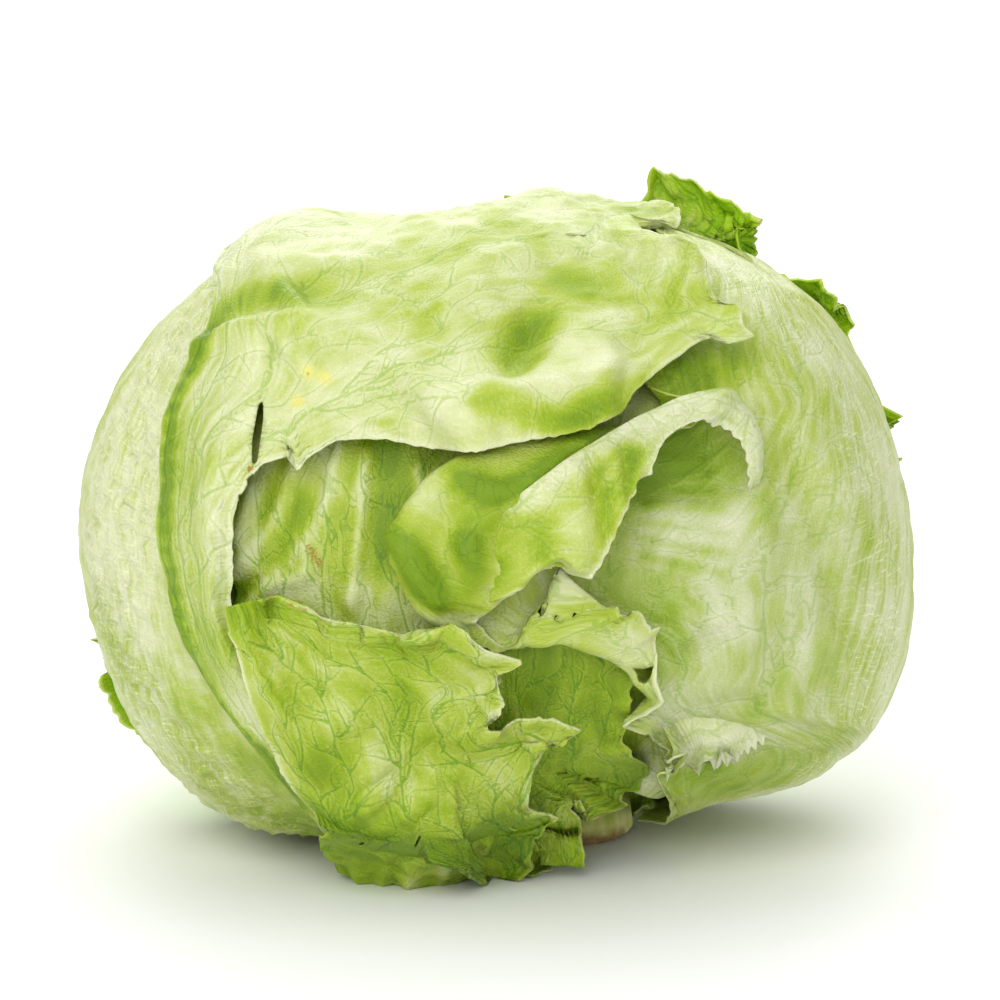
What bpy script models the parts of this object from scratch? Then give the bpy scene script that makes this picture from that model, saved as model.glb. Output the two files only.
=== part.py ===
"""An iceberg lettuce head as picked: the dense heart, its cut stem, and the leaves that cup round it.

Every leaf is one sheet that starts at the stem and lies over the sheets inside it. Its outline is drawn as
ribs, cross lines from one margin to the other, on a front view of 1000 by 1000 units or by angles round the
head.
"""

import math

import bmesh
import bpy
import numpy as np
from mathutils import Matrix, Vector, noise
from mathutils.bvhtree import BVHTree

# The scene is in metres, and everything below is in millimetres.
MM = 0.001

# The head as a whole: a rounded body about this middle, whose outline in the front view is OUTLINE.
HEAD_MIDDLE = np.array([0.0, 0.0, 68.0])
HEAD_RADIUS = 75.0
FRONT_DEPTH = 79.0
BACK_DEPTH = 76.0
ROUNDNESS = 2.15

# The leaves. BEND_ALLOWANCE is how many thicknesses a bent leaf takes up over the one inside it.
LEAF_THICKNESS = 0.9
LEAF_GAP = 0.7
BEND_ALLOWANCE = 1.3
SWELL = 1.2
SWELL_SIZE = 38.0

# A leaf's foot starts at its own floor height by the stem, and comes down to its sole height further out.
STACK_RADIUS = 24.0
STACK_FADE = 14.0

# Margins: their waves and teeth start this far from the foot, and the teeth reach this deep.
MARGIN_START = 25.0
TOOTH_DEPTH = 2.5
DENT_SHARE = 0.35
LEAST_LIFT = 0.2
LEAST_FLAP = 0.6

HEART_INSET = 14.0
HEART_FLOOR = 21.0
HEART_SUBDIVISIONS = 4
HEART_FOLDS = 3
HEART_STEP = 1.2
HEART_STEP_PLACE = 0.15
HEART_STEP_SHARPNESS = 22.0

STEM_SIDES = 32
STEM_RADIUS = 15.0
STEM_HEIGHT = 19.5
STEM_TAPER = 0.9
STEM_BEVEL = 0.8
STEM_CLEARANCE = 2.0
STEM_ABOVE = 3.0
STEM_TILT = math.radians(9.0)
STEM_UPHILL = np.array([-0.2, 0.98, 0.0])
STEM_FOOT = np.array([15.0, 2.0, 0.0])

LEAF_COLOUR = (0.42, 0.56, 0.12, 1.0)
PALE_COLOUR = (0.62, 0.68, 0.30, 1.0)
STEM_COLOUR = (0.66, 0.62, 0.36, 1.0)

# The head's outline in the front view: its radius every 15 degrees, anticlockwise from the right-hand side.
OUTLINE = [92.0, 89.5, 88.5, 83.5, 76.5, 73.8, 74.0, 73.6, 77.6, 85.0, 88.4, 92.0,
           92.8, 91.8, 90.2, 87.8, 79.5, 76.5, 76.2, 73.0, 71.5, 81.0, 92.5, 94.5]

# The front view is drawn as seen from this height angle and distance, about this point. UNIT is one of
# its units.
UNIT = 0.2208
VIEW_ANGLE = math.radians(10.0)
VIEW_DISTANCE = 950.0
VIEW_MIDDLE = np.array([0.0, 0.0, 75.5])
VIEW_CENTRE = 500.0
RIGHT = np.array([1.0, 0.0, 0.0])
UP = np.array([0.0, math.sin(VIEW_ANGLE), math.cos(VIEW_ANGLE)])
AWAY = np.array([0.0, math.cos(VIEW_ANGLE), -math.sin(VIEW_ANGLE)])
EYE = VIEW_MIDDLE - VIEW_DISTANCE * AWAY

# How finely a line of sight is searched for the head's surface, before and behind the view's middle.
SIGHT_BEFORE = 120.0
SIGHT_BEHIND = 40.0
SIGHT_STEPS = 641

# A ray that looks for the leaves inside starts this far from the middle.
OUTSIDE = 200.0

# Directions flatter than this are above the floor's reach.
LEAST_DOWN = 0.05


def unit(vectors):
    """The vectors at length 1."""
    return vectors / np.linalg.norm(vectors, axis=-1, keepdims=True)


def outline_radius(angle):
    """The head's radius in the front view at these angles, as a smooth closed curve through OUTLINE."""
    waves = np.fft.rfft(OUTLINE) / len(OUTLINE)
    radius = np.full(np.shape(angle), waves[0].real)
    for k in range(1, len(waves) - 1):
        radius = radius + 2 * (waves[k] * np.exp(1j * k * angle)).real
    return radius


def head_radius(direction):
    """How far the head reaches from its middle in each direction."""
    side, up, away = direction @ RIGHT, direction @ UP, direction @ AWAY
    across = np.hypot(side, up) / outline_radius(np.arctan2(up, side))
    depth = np.abs(away) / np.where(away < 0, FRONT_DEPTH, BACK_DEPTH)
    return (across**ROUNDNESS + depth**ROUNDNESS) ** (-1 / ROUNDNESS)


def seen(x, y):
    """The direction from the head's middle to its near surface at x, y of the front view, or to its rim."""
    target = VIEW_MIDDLE + ((x - VIEW_CENTRE) * RIGHT + (VIEW_CENTRE - y) * UP) * UNIT
    ray = unit(target - EYE)
    reaches = np.linspace(VIEW_DISTANCE - SIGHT_BEFORE, VIEW_DISTANCE + SIGHT_BEHIND, SIGHT_STEPS)
    points = EYE + np.outer(reaches, ray) - HEAD_MIDDLE
    outside = np.linalg.norm(points, axis=1) - head_radius(unit(points))
    hits = np.flatnonzero(outside < 0)
    return unit(points[hits[0] if len(hits) else int(np.argmin(outside))])


def around(longitude, latitude):
    """A direction by angles in degrees: longitude 0 is the front and 90 the right, latitude 90 the top."""
    lon, lat = math.radians(longitude), math.radians(latitude)
    return np.array([math.sin(lon) * math.cos(lat), -math.cos(lon) * math.cos(lat), math.sin(lat)])


def root(longitude, height):
    """The direction of a leaf's foot, just outside the stem on this side, at this height off the ground."""
    lon = math.radians(longitude)
    reach = STEM_RADIUS + STEM_CLEARANCE
    side = STEM_FOOT + reach * np.array([math.sin(lon), -math.cos(lon), 0.0]) - HEAD_MIDDLE
    side[2] = height - HEAD_MIDDLE[2]
    return unit(side)


class Chart:
    """A flat map of directions round a middle one, true to distance from it."""

    def __init__(self, middle):
        self.normal = unit(middle)
        helper = np.array([0.0, 0.0, 1.0]) if abs(self.normal[2]) < 0.9 else np.array([0.0, 1.0, 0.0])
        self.east = unit(np.cross(helper, self.normal))
        self.north = np.cross(self.normal, self.east)

    def flatten(self, direction):
        angle = np.arccos(np.clip(direction @ self.normal, -1, 1))
        stretch = angle / np.maximum(np.sin(angle), 1e-6)
        return np.stack([direction @ self.east * stretch, direction @ self.north * stretch], -1)

    def raise_up(self, flat):
        angle = np.maximum(np.linalg.norm(flat, axis=-1, keepdims=True), 1e-9)
        sideways = flat[..., :1] * self.east + flat[..., 1:] * self.north
        return np.cos(angle) * self.normal + np.sin(angle) / angle * sideways


def curve_at(points, places):
    """A smooth curve through the points, read at these places. Place 1.5 is halfway from point 1 to 2."""
    points = np.asarray(points, float)
    padded = np.concatenate([[2 * points[0] - points[1]], points, [2 * points[-1] - points[-2]]])
    k = np.clip(places.astype(int), 0, len(points) - 2)
    f = (places - k).reshape((-1,) + (1,) * (points.ndim - 1))
    a, b, c, d = padded[k], padded[k + 1], padded[k + 2], padded[k + 3]
    return 0.5 * (2 * b + (c - a) * f + (2 * a - 5 * b + 4 * c - d) * f**2 + (3 * b - a - 3 * c + d) * f**3)


def even_places(points, count):
    """count + 1 even places along the curve. Where points hold several columns, the longest step counts."""
    fine = np.linspace(0, len(points) - 1, (len(points) - 1) * 24 + 1)
    steps = np.linalg.norm(np.diff(curve_at(points, fine), axis=0), axis=-1)
    steps = steps.reshape(len(steps), -1).max(1)
    travelled = np.concatenate([[0], np.cumsum(steps)])
    return np.interp(np.linspace(0, travelled[-1], count + 1), travelled, fine)


def blade_map(leaf):
    """A leaf's flat chart, the place of each grid row among its ribs, and its grid of flat points."""
    ribs = [rib if len(rib) == 3 else (rib[0], unit(rib[0] + rib[1]), rib[1]) for rib in leaf["ribs"]]
    chart = Chart(np.mean([rib[1] for rib in ribs], axis=0))
    drawn = np.array([chart.flatten(np.array(rib)) for rib in ribs])
    if "hem" in leaf:
        drawn[:, 2] = hem_lines(leaf, chart, np.arange(len(ribs)))[0]
    places = even_places(drawn, leaf["rows"])
    left, middle, right = np.swapaxes(curve_at(drawn, places), 0, 1)[:, :, None]
    t = np.linspace(0, 1, leaf["columns"] + 1)
    t = (0.6 * t + 0.4 * (0.5 - 0.5 * np.cos(math.pi * t)))[None, :, None]
    flat = left * (2 * t**2 - 3 * t + 1) + middle * (4 * t - 4 * t**2) + right * (2 * t**2 - t)
    return chart, places, flat


def outermost(surfaces, direction):
    """How far out the outermost of these surfaces lies in one direction, or 0."""
    start = Vector(HEAD_MIDDLE + OUTSIDE * direction)
    reach = 0.0
    for surface in surfaces:
        hit = surface.ray_cast(start, Vector(-direction))[0]
        if hit is not None:
            reach = max(reach, (np.array(hit) - HEAD_MIDDLE) @ direction)
    return reach


def beneath(surfaces, directions):
    """How far out the leaves inside this one reach at each grid point, and within one cell of it."""
    rows, columns = directions.shape[:2]
    fine = np.zeros((2 * rows - 1, 2 * columns - 1))
    for i in range(2 * rows - 1):
        for j in range(2 * columns - 1):
            corners = directions[i // 2 : i // 2 + 1 + i % 2, j // 2 : j // 2 + 1 + j % 2]
            fine[i, j] = outermost(surfaces, unit(corners.reshape(-1, 3).mean(0)))
    padded = np.pad(fine, 2, mode="edge")
    near = [padded[a : a + fine.shape[0], b : b + fine.shape[1]] for a in range(5) for b in range(5)]
    return np.max(near, axis=0)[::2, ::2]


def blurred(values):
    """Each value averaged with its neighbours."""
    padded = np.pad(values, 1, mode="edge")
    beside = padded[:-2, 1:-1] + padded[2:, 1:-1] + padded[1:-1, :-2] + padded[1:-1, 2:]
    return (beside + 2 * values) / 6


def swell(directions, size, height, seed):
    """Soft random undulation: height in millimetres, size in millimetres across."""
    shift = Vector((seed * 7.3, seed * 3.1, seed * 5.7))
    flat = directions.reshape(-1, 3) * HEAD_RADIUS / size
    return height * np.array([noise.noise(Vector(p) + shift) for p in flat]).reshape(directions.shape[:2])


def teeth(count, seed):
    """The outward push of a toothed margin at each grid line along it: every other one is a tip."""
    size = np.array([0.75 + 0.8 * noise.noise(Vector((0.9 * k, seed, 9.5))) for k in range(count)])
    return np.where(np.arange(count) % 2 == 1, size, -DENT_SHARE * size)


def margin_work(points, leaf):
    """Lifts, waves and teeth along a leaf's free margins."""
    out = unit(points - HEAD_MIDDLE)
    moved = points.copy()
    for side, margin in leaf.get("free", {}).items():
        edge, inner = {
            "left": (points[:, 0], points[:, 1]),
            "right": (points[:, -1], points[:, -2]),
            "tip": (points[-1], points[-2]),
        }[side]
        steps = np.linalg.norm(np.diff(edge, axis=0), axis=1)
        along = np.concatenate([[0], np.cumsum(steps)])
        fade = np.clip(along / MARGIN_START, 0, 1) if side != "tip" else np.ones(len(along))
        outward = unit(edge - inner)
        seed = leaf["seed"] + len(side)
        wave = np.array([noise.noise(Vector((s / margin["wave_length"], seed, 3.5))) for s in along])
        rise = np.maximum(margin["lift"] + margin["wave"] * (0.4 + wave), LEAST_LIFT) * fade
        push = margin["tooth"] * teeth(len(along), seed) * fade
        if side == "tip":
            depth = np.linalg.norm(points - edge[None, :, :], axis=2)
            rise, push, outward = rise[None, :], push[None, :], outward[None, :, :]
        else:
            depth = np.linalg.norm(points - edge[:, None, :], axis=2)
            rise, push, outward = rise[:, None], push[:, None], outward[:, None, :]
        moved += out * (rise * np.exp(-((depth / margin["lift_depth"]) ** 2)))[..., None]
        moved += outward * (push * np.exp(-((depth / TOOTH_DEPTH) ** 2)))[..., None]
    return moved


def relief(directions, shaping):
    """Ridges and hollows: each is a line of directions, its half width and its height, in millimetres."""
    total = np.zeros(directions.shape[:2])
    for line, width, height in shaping:
        places = unit(curve_at(line, even_places(line, 30))) if len(line) > 1 else np.array(line)
        nearest = np.max(directions @ places.T, axis=-1)
        total += height * np.exp(-((np.arccos(np.clip(nearest, -1, 1)) * HEAD_RADIUS / width) ** 2))
    return total


def floor_height(directions, leaf):
    """How high a leaf stays off the ground: the feet are stacked at the stem, and come down further out."""
    down = np.maximum(-directions[..., 2], LEAST_DOWN)
    spread = (HEAD_MIDDLE[2] - leaf["floor"]) * np.hypot(directions[..., 0], directions[..., 1]) / down
    share = np.clip((spread - STACK_RADIUS) / STACK_FADE, 0, 1)
    return leaf["floor"] * (1 - share) + leaf["sole"] * share


def settled(directions, leaf, inside):
    """How far out each grid point lies: at the leaf's own level, or over the leaves inside it."""
    level = head_radius(directions) - leaf["inset"] + relief(directions, leaf.get("shaping", ()))
    level = level + swell(directions, SWELL_SIZE, SWELL, leaf["seed"])
    ground = (HEAD_MIDDLE[2] - floor_height(directions, leaf)) / np.maximum(-directions[..., 2], LEAST_DOWN)
    level = np.where(directions[..., 2] < -LEAST_DOWN, np.minimum(level, ground), level)
    need = beneath(inside, directions) + leaf.get("gap", LEAF_GAP) + BEND_ALLOWANCE * LEAF_THICKNESS
    reach = np.maximum(level, need)
    for _ in range(2):
        reach = np.maximum(blurred(reach), need)
    return reach


def clear_of_stem(points):
    """Pushes points out of the stem's cylinder."""
    axis = points[..., :2] - STEM_FOOT[:2]
    away = np.linalg.norm(axis, axis=-1, keepdims=True)
    wanted = np.maximum(away, STEM_RADIUS + STEM_CLEARANCE)
    moved = points.copy()
    low = points[..., 2:] < STEM_HEIGHT + STEM_ABOVE
    moved[..., :2] = np.where(low, STEM_FOOT[:2] + axis / away * wanted, points[..., :2])
    return moved


def hem_lines(leaf, chart, places):
    """A hem at these places: where the flat leaf ends, the way back over it, and the other numbers."""
    crest, free, *numbers = zip(*leaf["hem"])
    crest = curve_at(chart.flatten(np.array(crest)), places)
    free = curve_at(chart.flatten(np.array(free)), places)
    width = np.linalg.norm(free - crest, axis=1, keepdims=True)
    across = (free - crest) / width
    radius, turn, tooth = [np.interp(places, np.arange(len(row)), row)[:, None] for row in numbers]
    flap = np.maximum(width * HEAD_RADIUS - radius * turn, LEAST_FLAP)
    start = crest + across * (radius * turn + (1 - turn) * (math.pi * radius + flap)) / HEAD_RADIUS
    return start, across, flap, radius, turn, tooth


def rolled_hem(points, leaf, chart, places):
    """Grid columns that carry on from a leaf's last one: up and round a roll, then on to the free edge."""
    start, across, flap, radius, turn, tooth = hem_lines(leaf, chart, places)
    flap = flap + tooth * teeth(len(places), leaf["seed"])[:, None]
    base = np.linalg.norm(points[:, -1] - HEAD_MIDDLE, axis=1) - head_radius(chart.raise_up(start))
    bend = np.maximum(turn, 0.02)
    columns = []
    for share in np.linspace(0, 1, leaf["roll_steps"] + 1)[1:]:
        angle = bend * math.pi * share
        columns.append((-np.sin(angle) * radius / bend, (1 - np.cos(angle)) * radius / bend))
    out, up = columns[-1]
    for share in np.linspace(0, 1, leaf["flap_steps"] + 1)[1:]:
        along = flap * share
        columns.append((out - np.cos(math.pi * bend) * along, up + np.sin(math.pi * bend) * along))
    made = []
    for out, up in columns:
        direction = chart.raise_up(start + across * out / HEAD_RADIUS)
        made.append(HEAD_MIDDLE + direction * (head_radius(direction) + base + up[:, 0])[:, None])
    return np.stack(made, axis=1)


def leaf_grid(leaf, inside):
    """The outer face of one leaf as a grid of points, rows from its foot to its tip."""
    chart, places, flat = blade_map(leaf)
    directions = chart.raise_up(flat)
    points = HEAD_MIDDLE + directions * settled(directions, leaf, inside)[..., None]
    points = margin_work(points, leaf)
    if "hem" in leaf:
        points = np.concatenate([points, rolled_hem(points, leaf, chart, places)], axis=1)
    points = clear_of_stem(points)
    points[..., 2] = np.maximum(points[..., 2], leaf["sole"])
    return points


def new_material(name, colour, roughness):
    """A plain material of one colour."""
    material = bpy.data.materials.new(name)
    material.use_nodes = True
    shader = material.node_tree.nodes["Principled BSDF"]
    shader.inputs["Base Color"].default_value = colour
    shader.inputs["Roughness"].default_value = roughness
    return material


def add_leaf(leaf, inside, collection):
    """One leaf as a grid that is bent to shape and thickened inwards."""
    points = leaf_grid(leaf, inside)
    rows, columns = points.shape[0] - 1, points.shape[1] - 1
    corner = points[0, 0]
    if np.cross(points[1, 0] - corner, points[0, 1] - corner) @ (corner - HEAD_MIDDLE) > 0:
        points = points[:, ::-1]
    bpy.ops.mesh.primitive_grid_add(x_subdivisions=columns, y_subdivisions=rows)
    obj = bpy.context.object
    obj.name = obj.data.name = leaf["name"]
    obj.data.vertices.foreach_set("co", (points * MM).ravel())
    obj.data.materials.append(new_material(leaf["name"], leaf["colour"], 0.45))
    split = obj.modifiers.new("split", "TRIANGULATE")
    split.quad_method = "FIXED"
    thick = obj.modifiers.new("thickness", "SOLIDIFY")
    thick.thickness = LEAF_THICKNESS * MM
    thick.offset = -1
    obj.data.shade_smooth()
    for other in obj.users_collection:
        other.objects.unlink(obj)
    collection.objects.link(obj)
    bpy.context.view_layer.update()
    inside.append(solid_surface(obj))


def solid_surface(obj):
    """The object's surface in millimetres, for finding how far out it reaches."""
    mesh = obj.evaluated_get(bpy.context.evaluated_depsgraph_get()).to_mesh()
    vertices = [Vector(v.co) / MM for v in mesh.vertices]
    return BVHTree.FromPolygons(vertices, [list(p.vertices) for p in mesh.polygons])


def add_heart(collection):
    """The tight inner head of folded leaves, whose edges show as low steps."""
    bpy.ops.mesh.primitive_ico_sphere_add(subdivisions=HEART_SUBDIVISIONS, radius=1.0)
    obj = bpy.context.object
    obj.name = obj.data.name = "heart"
    directions = unit(np.array([v.co[:] for v in obj.data.vertices]))
    reach = head_radius(directions) - HEART_INSET
    for number in range(HEART_FOLDS):
        across = directions @ around(360 * number / HEART_FOLDS, 20)
        reach = reach + HEART_STEP / (1 + np.exp(-(across - HEART_STEP_PLACE) * HEART_STEP_SHARPNESS))
    ground = (HEAD_MIDDLE[2] - HEART_FLOOR) / np.maximum(-directions[:, 2], LEAST_DOWN)
    reach = np.where(directions[:, 2] < -LEAST_DOWN, np.minimum(reach, ground), reach)
    points = HEAD_MIDDLE + directions * reach[:, None]
    obj.data.vertices.foreach_set("co", (points * MM).ravel())
    obj.data.materials.append(new_material("heart", PALE_COLOUR, 0.5))
    obj.data.shade_smooth()
    for other in obj.users_collection:
        other.objects.unlink(obj)
    collection.objects.link(obj)
    bpy.context.view_layer.update()
    return solid_surface(obj)


def add_stem(collection):
    """The cut stem under the head: a short stout cylinder, a little wider at the cut."""
    bm = bmesh.new()
    bmesh.ops.create_cone(bm, cap_ends=True, segments=STEM_SIDES, radius1=STEM_RADIUS,
                          radius2=STEM_RADIUS * STEM_TAPER, depth=STEM_HEIGHT)
    for vertex in bm.verts:
        if vertex.co.z < 0:
            vertex.co.z += math.tan(STEM_TILT) * (vertex.co.dot(Vector(STEM_UPHILL)) + STEM_RADIUS)
        vertex.co.z += STEM_HEIGHT / 2
        vertex.co += Vector(STEM_FOOT)
        vertex.co *= MM
    mesh = bpy.data.meshes.new("stem")
    bm.to_mesh(mesh)
    bm.free()
    obj = bpy.data.objects.new("stem", mesh)
    collection.objects.link(obj)
    edge = obj.modifiers.new("worn edge", "BEVEL")
    edge.width = STEM_BEVEL * MM
    edge.segments = 2
    edge.limit_method = "ANGLE"
    mesh.materials.append(new_material("stem", STEM_COLOUR, 0.6))
    mesh.shade_smooth()
    mesh.set_sharp_from_angle(angle=math.radians(40))


def stand_on_origin(objects):
    """Moves the whole head so that the middle of its box's base is the origin."""
    view = bpy.context.evaluated_depsgraph_get()
    corners = np.array([corner[:] for obj in objects for corner in obj.evaluated_get(view).bound_box])
    low, high = corners.min(axis=0), corners.max(axis=0)
    shift = Vector(((low[0] + high[0]) / 2, (low[1] + high[1]) / 2, low[2]))
    for obj in objects:
        obj.data.transform(Matrix.Translation(-shift))


def front(*pairs):
    """Directions of several points of the front view."""
    return [seen(x, y) for x, y in pairs]


def strip(*ribs):
    """Ribs given as pairs of front-view points, or as ready directions."""
    return [tuple(seen(*end) if len(end) == 2 else end for end in rib) for rib in ribs]


SOFT_EDGE = dict(lift=0.6, wave=1.4, wave_length=28.0, lift_depth=10.0, tooth=0.5)
FRILLY_EDGE = dict(lift=0.6, wave=2.2, wave_length=20.0, lift_depth=8.0, tooth=1.8)

# The groove between the left-hand rib and the crown's edge, and the forms of the cupped leaf on the right.
GROOVE = front((330, 845), (270, 775), (215, 715), (178, 650), (158, 560), (155, 480), (168, 400),
               (205, 335))
BOWL = front((685, 490), (700, 560), (690, 640), (730, 705))
BOWL_RIDGE = front((712, 402), (745, 428), (766, 472), (780, 520), (788, 560))
RIM_HOLLOW = front((770, 400), (805, 480), (828, 560), (832, 640), (812, 700))

LEAF_INNER = dict(
    name="leaf_inner", seed=1, inset=9.5, floor=17.0, sole=10.0, rows=18, columns=8, colour=LEAF_COLOUR,
    ribs=strip(
        (root(-60, 17), root(40, 17)),
        ((330, 820), (530, 800)),
        ((250, 730), (560, 710)),
        ((215, 620), (580, 610)),
        ((205, 520), (615, 540)),
        ((212, 430), (660, 480)),
        ((240, 360), (730, 430)),
        ((290, 300), (780, 370)),
        ((370, 262), (765, 310)),
        ((460, 240), (720, 270)),
    ),
)

LEAF_UNDER = dict(
    name="leaf_under", seed=5, inset=7.0, floor=14.0, sole=3.0, rows=26, columns=8, colour=LEAF_COLOUR,
    ribs=strip(
        (root(-35, 14), root(5, 14)),
        ((488, 856), (556, 864)),
        ((478, 836), (579, 849)),
        ((470, 812), (584, 826)),
        ((466, 790), (612, 808)),
        ((464, 755), (645, 771)),
        ((462, 725), (640, 735)),
        ((462, 695), (650, 702)),
        ((464, 660), (655, 665)),
        ((470, 625), (625, 630)),
        ((482, 595), (580, 590)),
    ),
    free={"right": FRILLY_EDGE},
)

# Each line: the back margin and the middle, then the front margin's crest and free edge, the radius of its
# roll, how far it is turned outward (1 is right over, 0 is flat), and the size of its teeth.
RIGHT_RIBS = [
    (root(150, 10), root(95, 10), root(50, 10), root(62, 10), 0.4, 0.0, 0.0),
    (around(142, -54), around(98, -50), seen(650, 777), seen(656, 783), 0.4, 0.0, 0.0),
    (around(146, -48), around(95, -44), seen(667, 763), seen(672, 770), 0.4, 0.0, 0.0),
    (around(149, -42), around(92, -38), seen(684, 754), seen(689, 760), 0.4, 0.0, 0.0),
    (around(150, -38), around(90, -33), seen(689, 748), seen(697, 747), 0.4, 0.0, 0.0),
    (around(151, -34), seen(850, 724), seen(679, 742), seen(683, 735), 0.4, 0.0, 0.0),
    (around(151, -31), seen(858, 706), seen(654, 738), seen(659, 731), 0.4, 0.0, 0.3),
    (around(152, -28), seen(863, 690), seen(630, 728), seen(638, 722), 0.6, 0.3, 0.6),
    (around(152, -24), seen(870, 672), seen(650, 706), seen(660, 700), 0.8, 0.6, 0.6),
    (around(153, -20), seen(877, 653), seen(642, 686), seen(662, 664), 1.4, 1.0, 1.2),
    (around(153, -15), seen(883, 634), seen(620, 665), seen(656, 628), 1.7, 1.0, 1.6),
    (around(153, -10), seen(887, 618), seen(590, 651), seen(640, 610), 1.8, 1.0, 1.6),
    (around(154, -6), seen(890, 604), seen(562, 641), seen(612, 604), 1.8, 1.0, 1.0),
    (around(154, -2), seen(892, 586), seen(538, 645), seen(578, 588), 1.8, 1.0, 0.8),
    (around(154, 1), seen(894, 568), seen(520, 643), seen(551, 576), 1.6, 1.0, 0.4),
    (around(154, 4), seen(895, 556), seen(505, 641), seen(528, 615), 1.3, 1.0, 0.0),
    (around(154, 7), seen(896, 545), seen(487, 639), seen(499, 629), 1.2, 1.0, 0.0),
    (around(154, 10), seen(897, 534), seen(454, 633), seen(474, 620), 1.8, 1.0, 0.0),
    (around(154, 14), seen(898, 521), seen(412, 607), seen(480, 610), 2.4, 1.0, 0.0),
    (around(154, 18), seen(898, 508), seen(395, 562), seen(503, 592), 3.0, 1.0, 0.0),
    (around(153, 23), seen(896, 493), seen(408, 515), seen(530, 566), 3.2, 1.0, 0.0),
    (around(153, 28), seen(893, 477), seen(438, 480), seen(556, 553), 3.4, 1.0, 0.0),
    (around(152, 32), seen(888, 463), seen(484, 455), seen(582, 562), 3.4, 1.0, 0.0),
    (around(151, 37), seen(880, 438), seen(540, 443), seen(600, 535), 3.4, 1.0, 0.0),
    (around(150, 42), seen(870, 410), seen(590, 434), seen(616, 500), 3.0, 1.0, 0.0),
    (around(148, 47), seen(857, 382), seen(640, 418), seen(650, 457), 2.6, 1.0, 0.0),
    (around(146, 51), seen(842, 352), seen(688, 402), seen(691, 426), 2.0, 1.0, 0.0),
    (around(146, 56), seen(826, 328), seen(718, 396), seen(719, 410), 1.0, 0.5, 0.0),
    (around(147, 61), seen(808, 306), seen(739, 375), seen(747, 381), 0.4, 0.0, 0.0),
    (around(149, 67), seen(786, 285), seen(726, 325), seen(734, 330), 0.4, 0.0, 0.0),
    (around(153, 73), seen(757, 263), seen(694, 288), seen(702, 292), 0.4, 0.0, 0.0),
]

LEAF_RIGHT = dict(
    name="leaf_right", seed=2, inset=0.0, floor=10.0, sole=3.0, rows=56, columns=9, colour=PALE_COLOUR,
    ribs=[rib[:3] for rib in RIGHT_RIBS], hem=[rib[2:] for rib in RIGHT_RIBS], roll_steps=3, flap_steps=2,
    shaping=[(BOWL, 17.0, -9.0), (BOWL_RIDGE, 6.0, 2.5), (RIM_HOLLOW, 9.0, -2.5),
             (front((450, 620), (520, 620), (600, 690)), 14.0, -4.0), (front((700, 295)), 10.0, -1.6)],
)

LEAF_LEFT = dict(
    name="leaf_left", seed=3, inset=0.0, floor=8.0, sole=0.3, rows=18, columns=10, colour=PALE_COLOUR,
    ribs=[
        (root(-140, 8), root(-95, 8), root(-50, 8)),
        (around(-148, -60), around(-98, -60), seen(410, 848)),
        (around(-153, -42), around(-98, -42), seen(340, 815)),
        (around(-155, -22), around(-97, -22), seen(268, 735)),
        (around(-153, -2), around(-97, -4), seen(230, 640)),
        (around(-150, 18), around(-97, 12), seen(215, 550)),
        (around(-147, 36), around(-97, 27), seen(218, 460)),
        (around(-143, 50), around(-101, 41), seen(238, 375)),
        (around(-140, 60), around(-110, 54), seen(280, 300)),
    ],
    shaping=[(GROOVE, 9.0, -6.5), ([around(-125, 55)], 16.0, -3.0)],
)

LEAF_CROWN = dict(
    name="leaf_crown", seed=4, inset=1.0, gap=1.5, floor=5.5, sole=2.0, rows=40, columns=11,
    colour=LEAF_COLOUR,
    ribs=strip(
        (root(-80, 5.5), root(-50, 5.5)),
        ((355, 840), (415, 830)),
        ((318, 818), (372, 800)),
        ((272, 770), (320, 745)),
        ((222, 708), (268, 680)),
        ((184, 640), (235, 606)),
        ((163, 570), (232, 560)),
        ((156, 500), (238, 515)),
        ((160, 430), (243, 480)),
        ((182, 366), (272, 462)),
        ((215, 305), (320, 448)),
        (around(-108, 46), (395, 443)),
        (around(-135, 48), (470, 454)),
        (around(-160, 48), (535, 443)),
        (around(178, 50), (600, 428)),
        (around(162, 51), (655, 392)),
        (around(144, 53), (705, 353)),
        (around(122, 56), (740, 335)),
    ),
    free={"right": SOFT_EDGE, "tip": FRILLY_EDGE},
    shaping=[(GROOVE, 7.0, -4.0), (front((505, 315), (545, 345)), 9.0, -2.5),
             (front((350, 300), (430, 330)), 9.0, 2.0)],
)

LEAF_LOW = dict(
    name="leaf_low", seed=12, inset=4.0, floor=3.0, sole=0.0, rows=22, columns=5, colour=LEAF_COLOUR,
    ribs=strip(
        (root(-50, 3), root(-20, 3)),
        ((500, 884), (552, 876)),
        ((486, 886), (530, 845)),
        ((460, 886), (480, 825)),
        ((428, 884), (424, 812)),
        ((388, 876), (378, 804)),
        ((358, 864), (350, 800)),
        ((341, 850), (332, 808)),
    ),
    free={"left": dict(FRILLY_EDGE, wave=1.5), "right": SOFT_EDGE},
)

LEAF_FRONT = dict(
    name="leaf_front", seed=8, inset=0.0, floor=1.0, sole=0.3, rows=44, columns=10, colour=LEAF_COLOUR,
    ribs=strip(
        (root(-45, 1), root(-8, 1)),
        ((525, 862), (545, 848)),
        ((490, 866), (556, 816)),
        ((440, 862), (541, 797)),
        ((394, 852), (547, 768)),
        ((360, 844), (568, 734)),
        ((338, 841), (542, 714)),
        ((322, 825), (502, 728)),
        ((308, 808), (492, 716)),
        ((294, 788), (512, 700)),
        ((280, 764), (500, 682)),
        ((267, 738), (518, 662)),
        ((254, 708), (470, 632)),
        ((242, 672), (400, 629)),
        ((231, 628), (320, 614)),
        ((227, 611), (278, 601)),
    ),
    free={"left": SOFT_EDGE, "right": FRILLY_EDGE},
    shaping=[(front((350, 650), (420, 700)), 9.0, -1.8), (front((430, 780), (500, 770)), 7.0, -1.5)],
)

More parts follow.
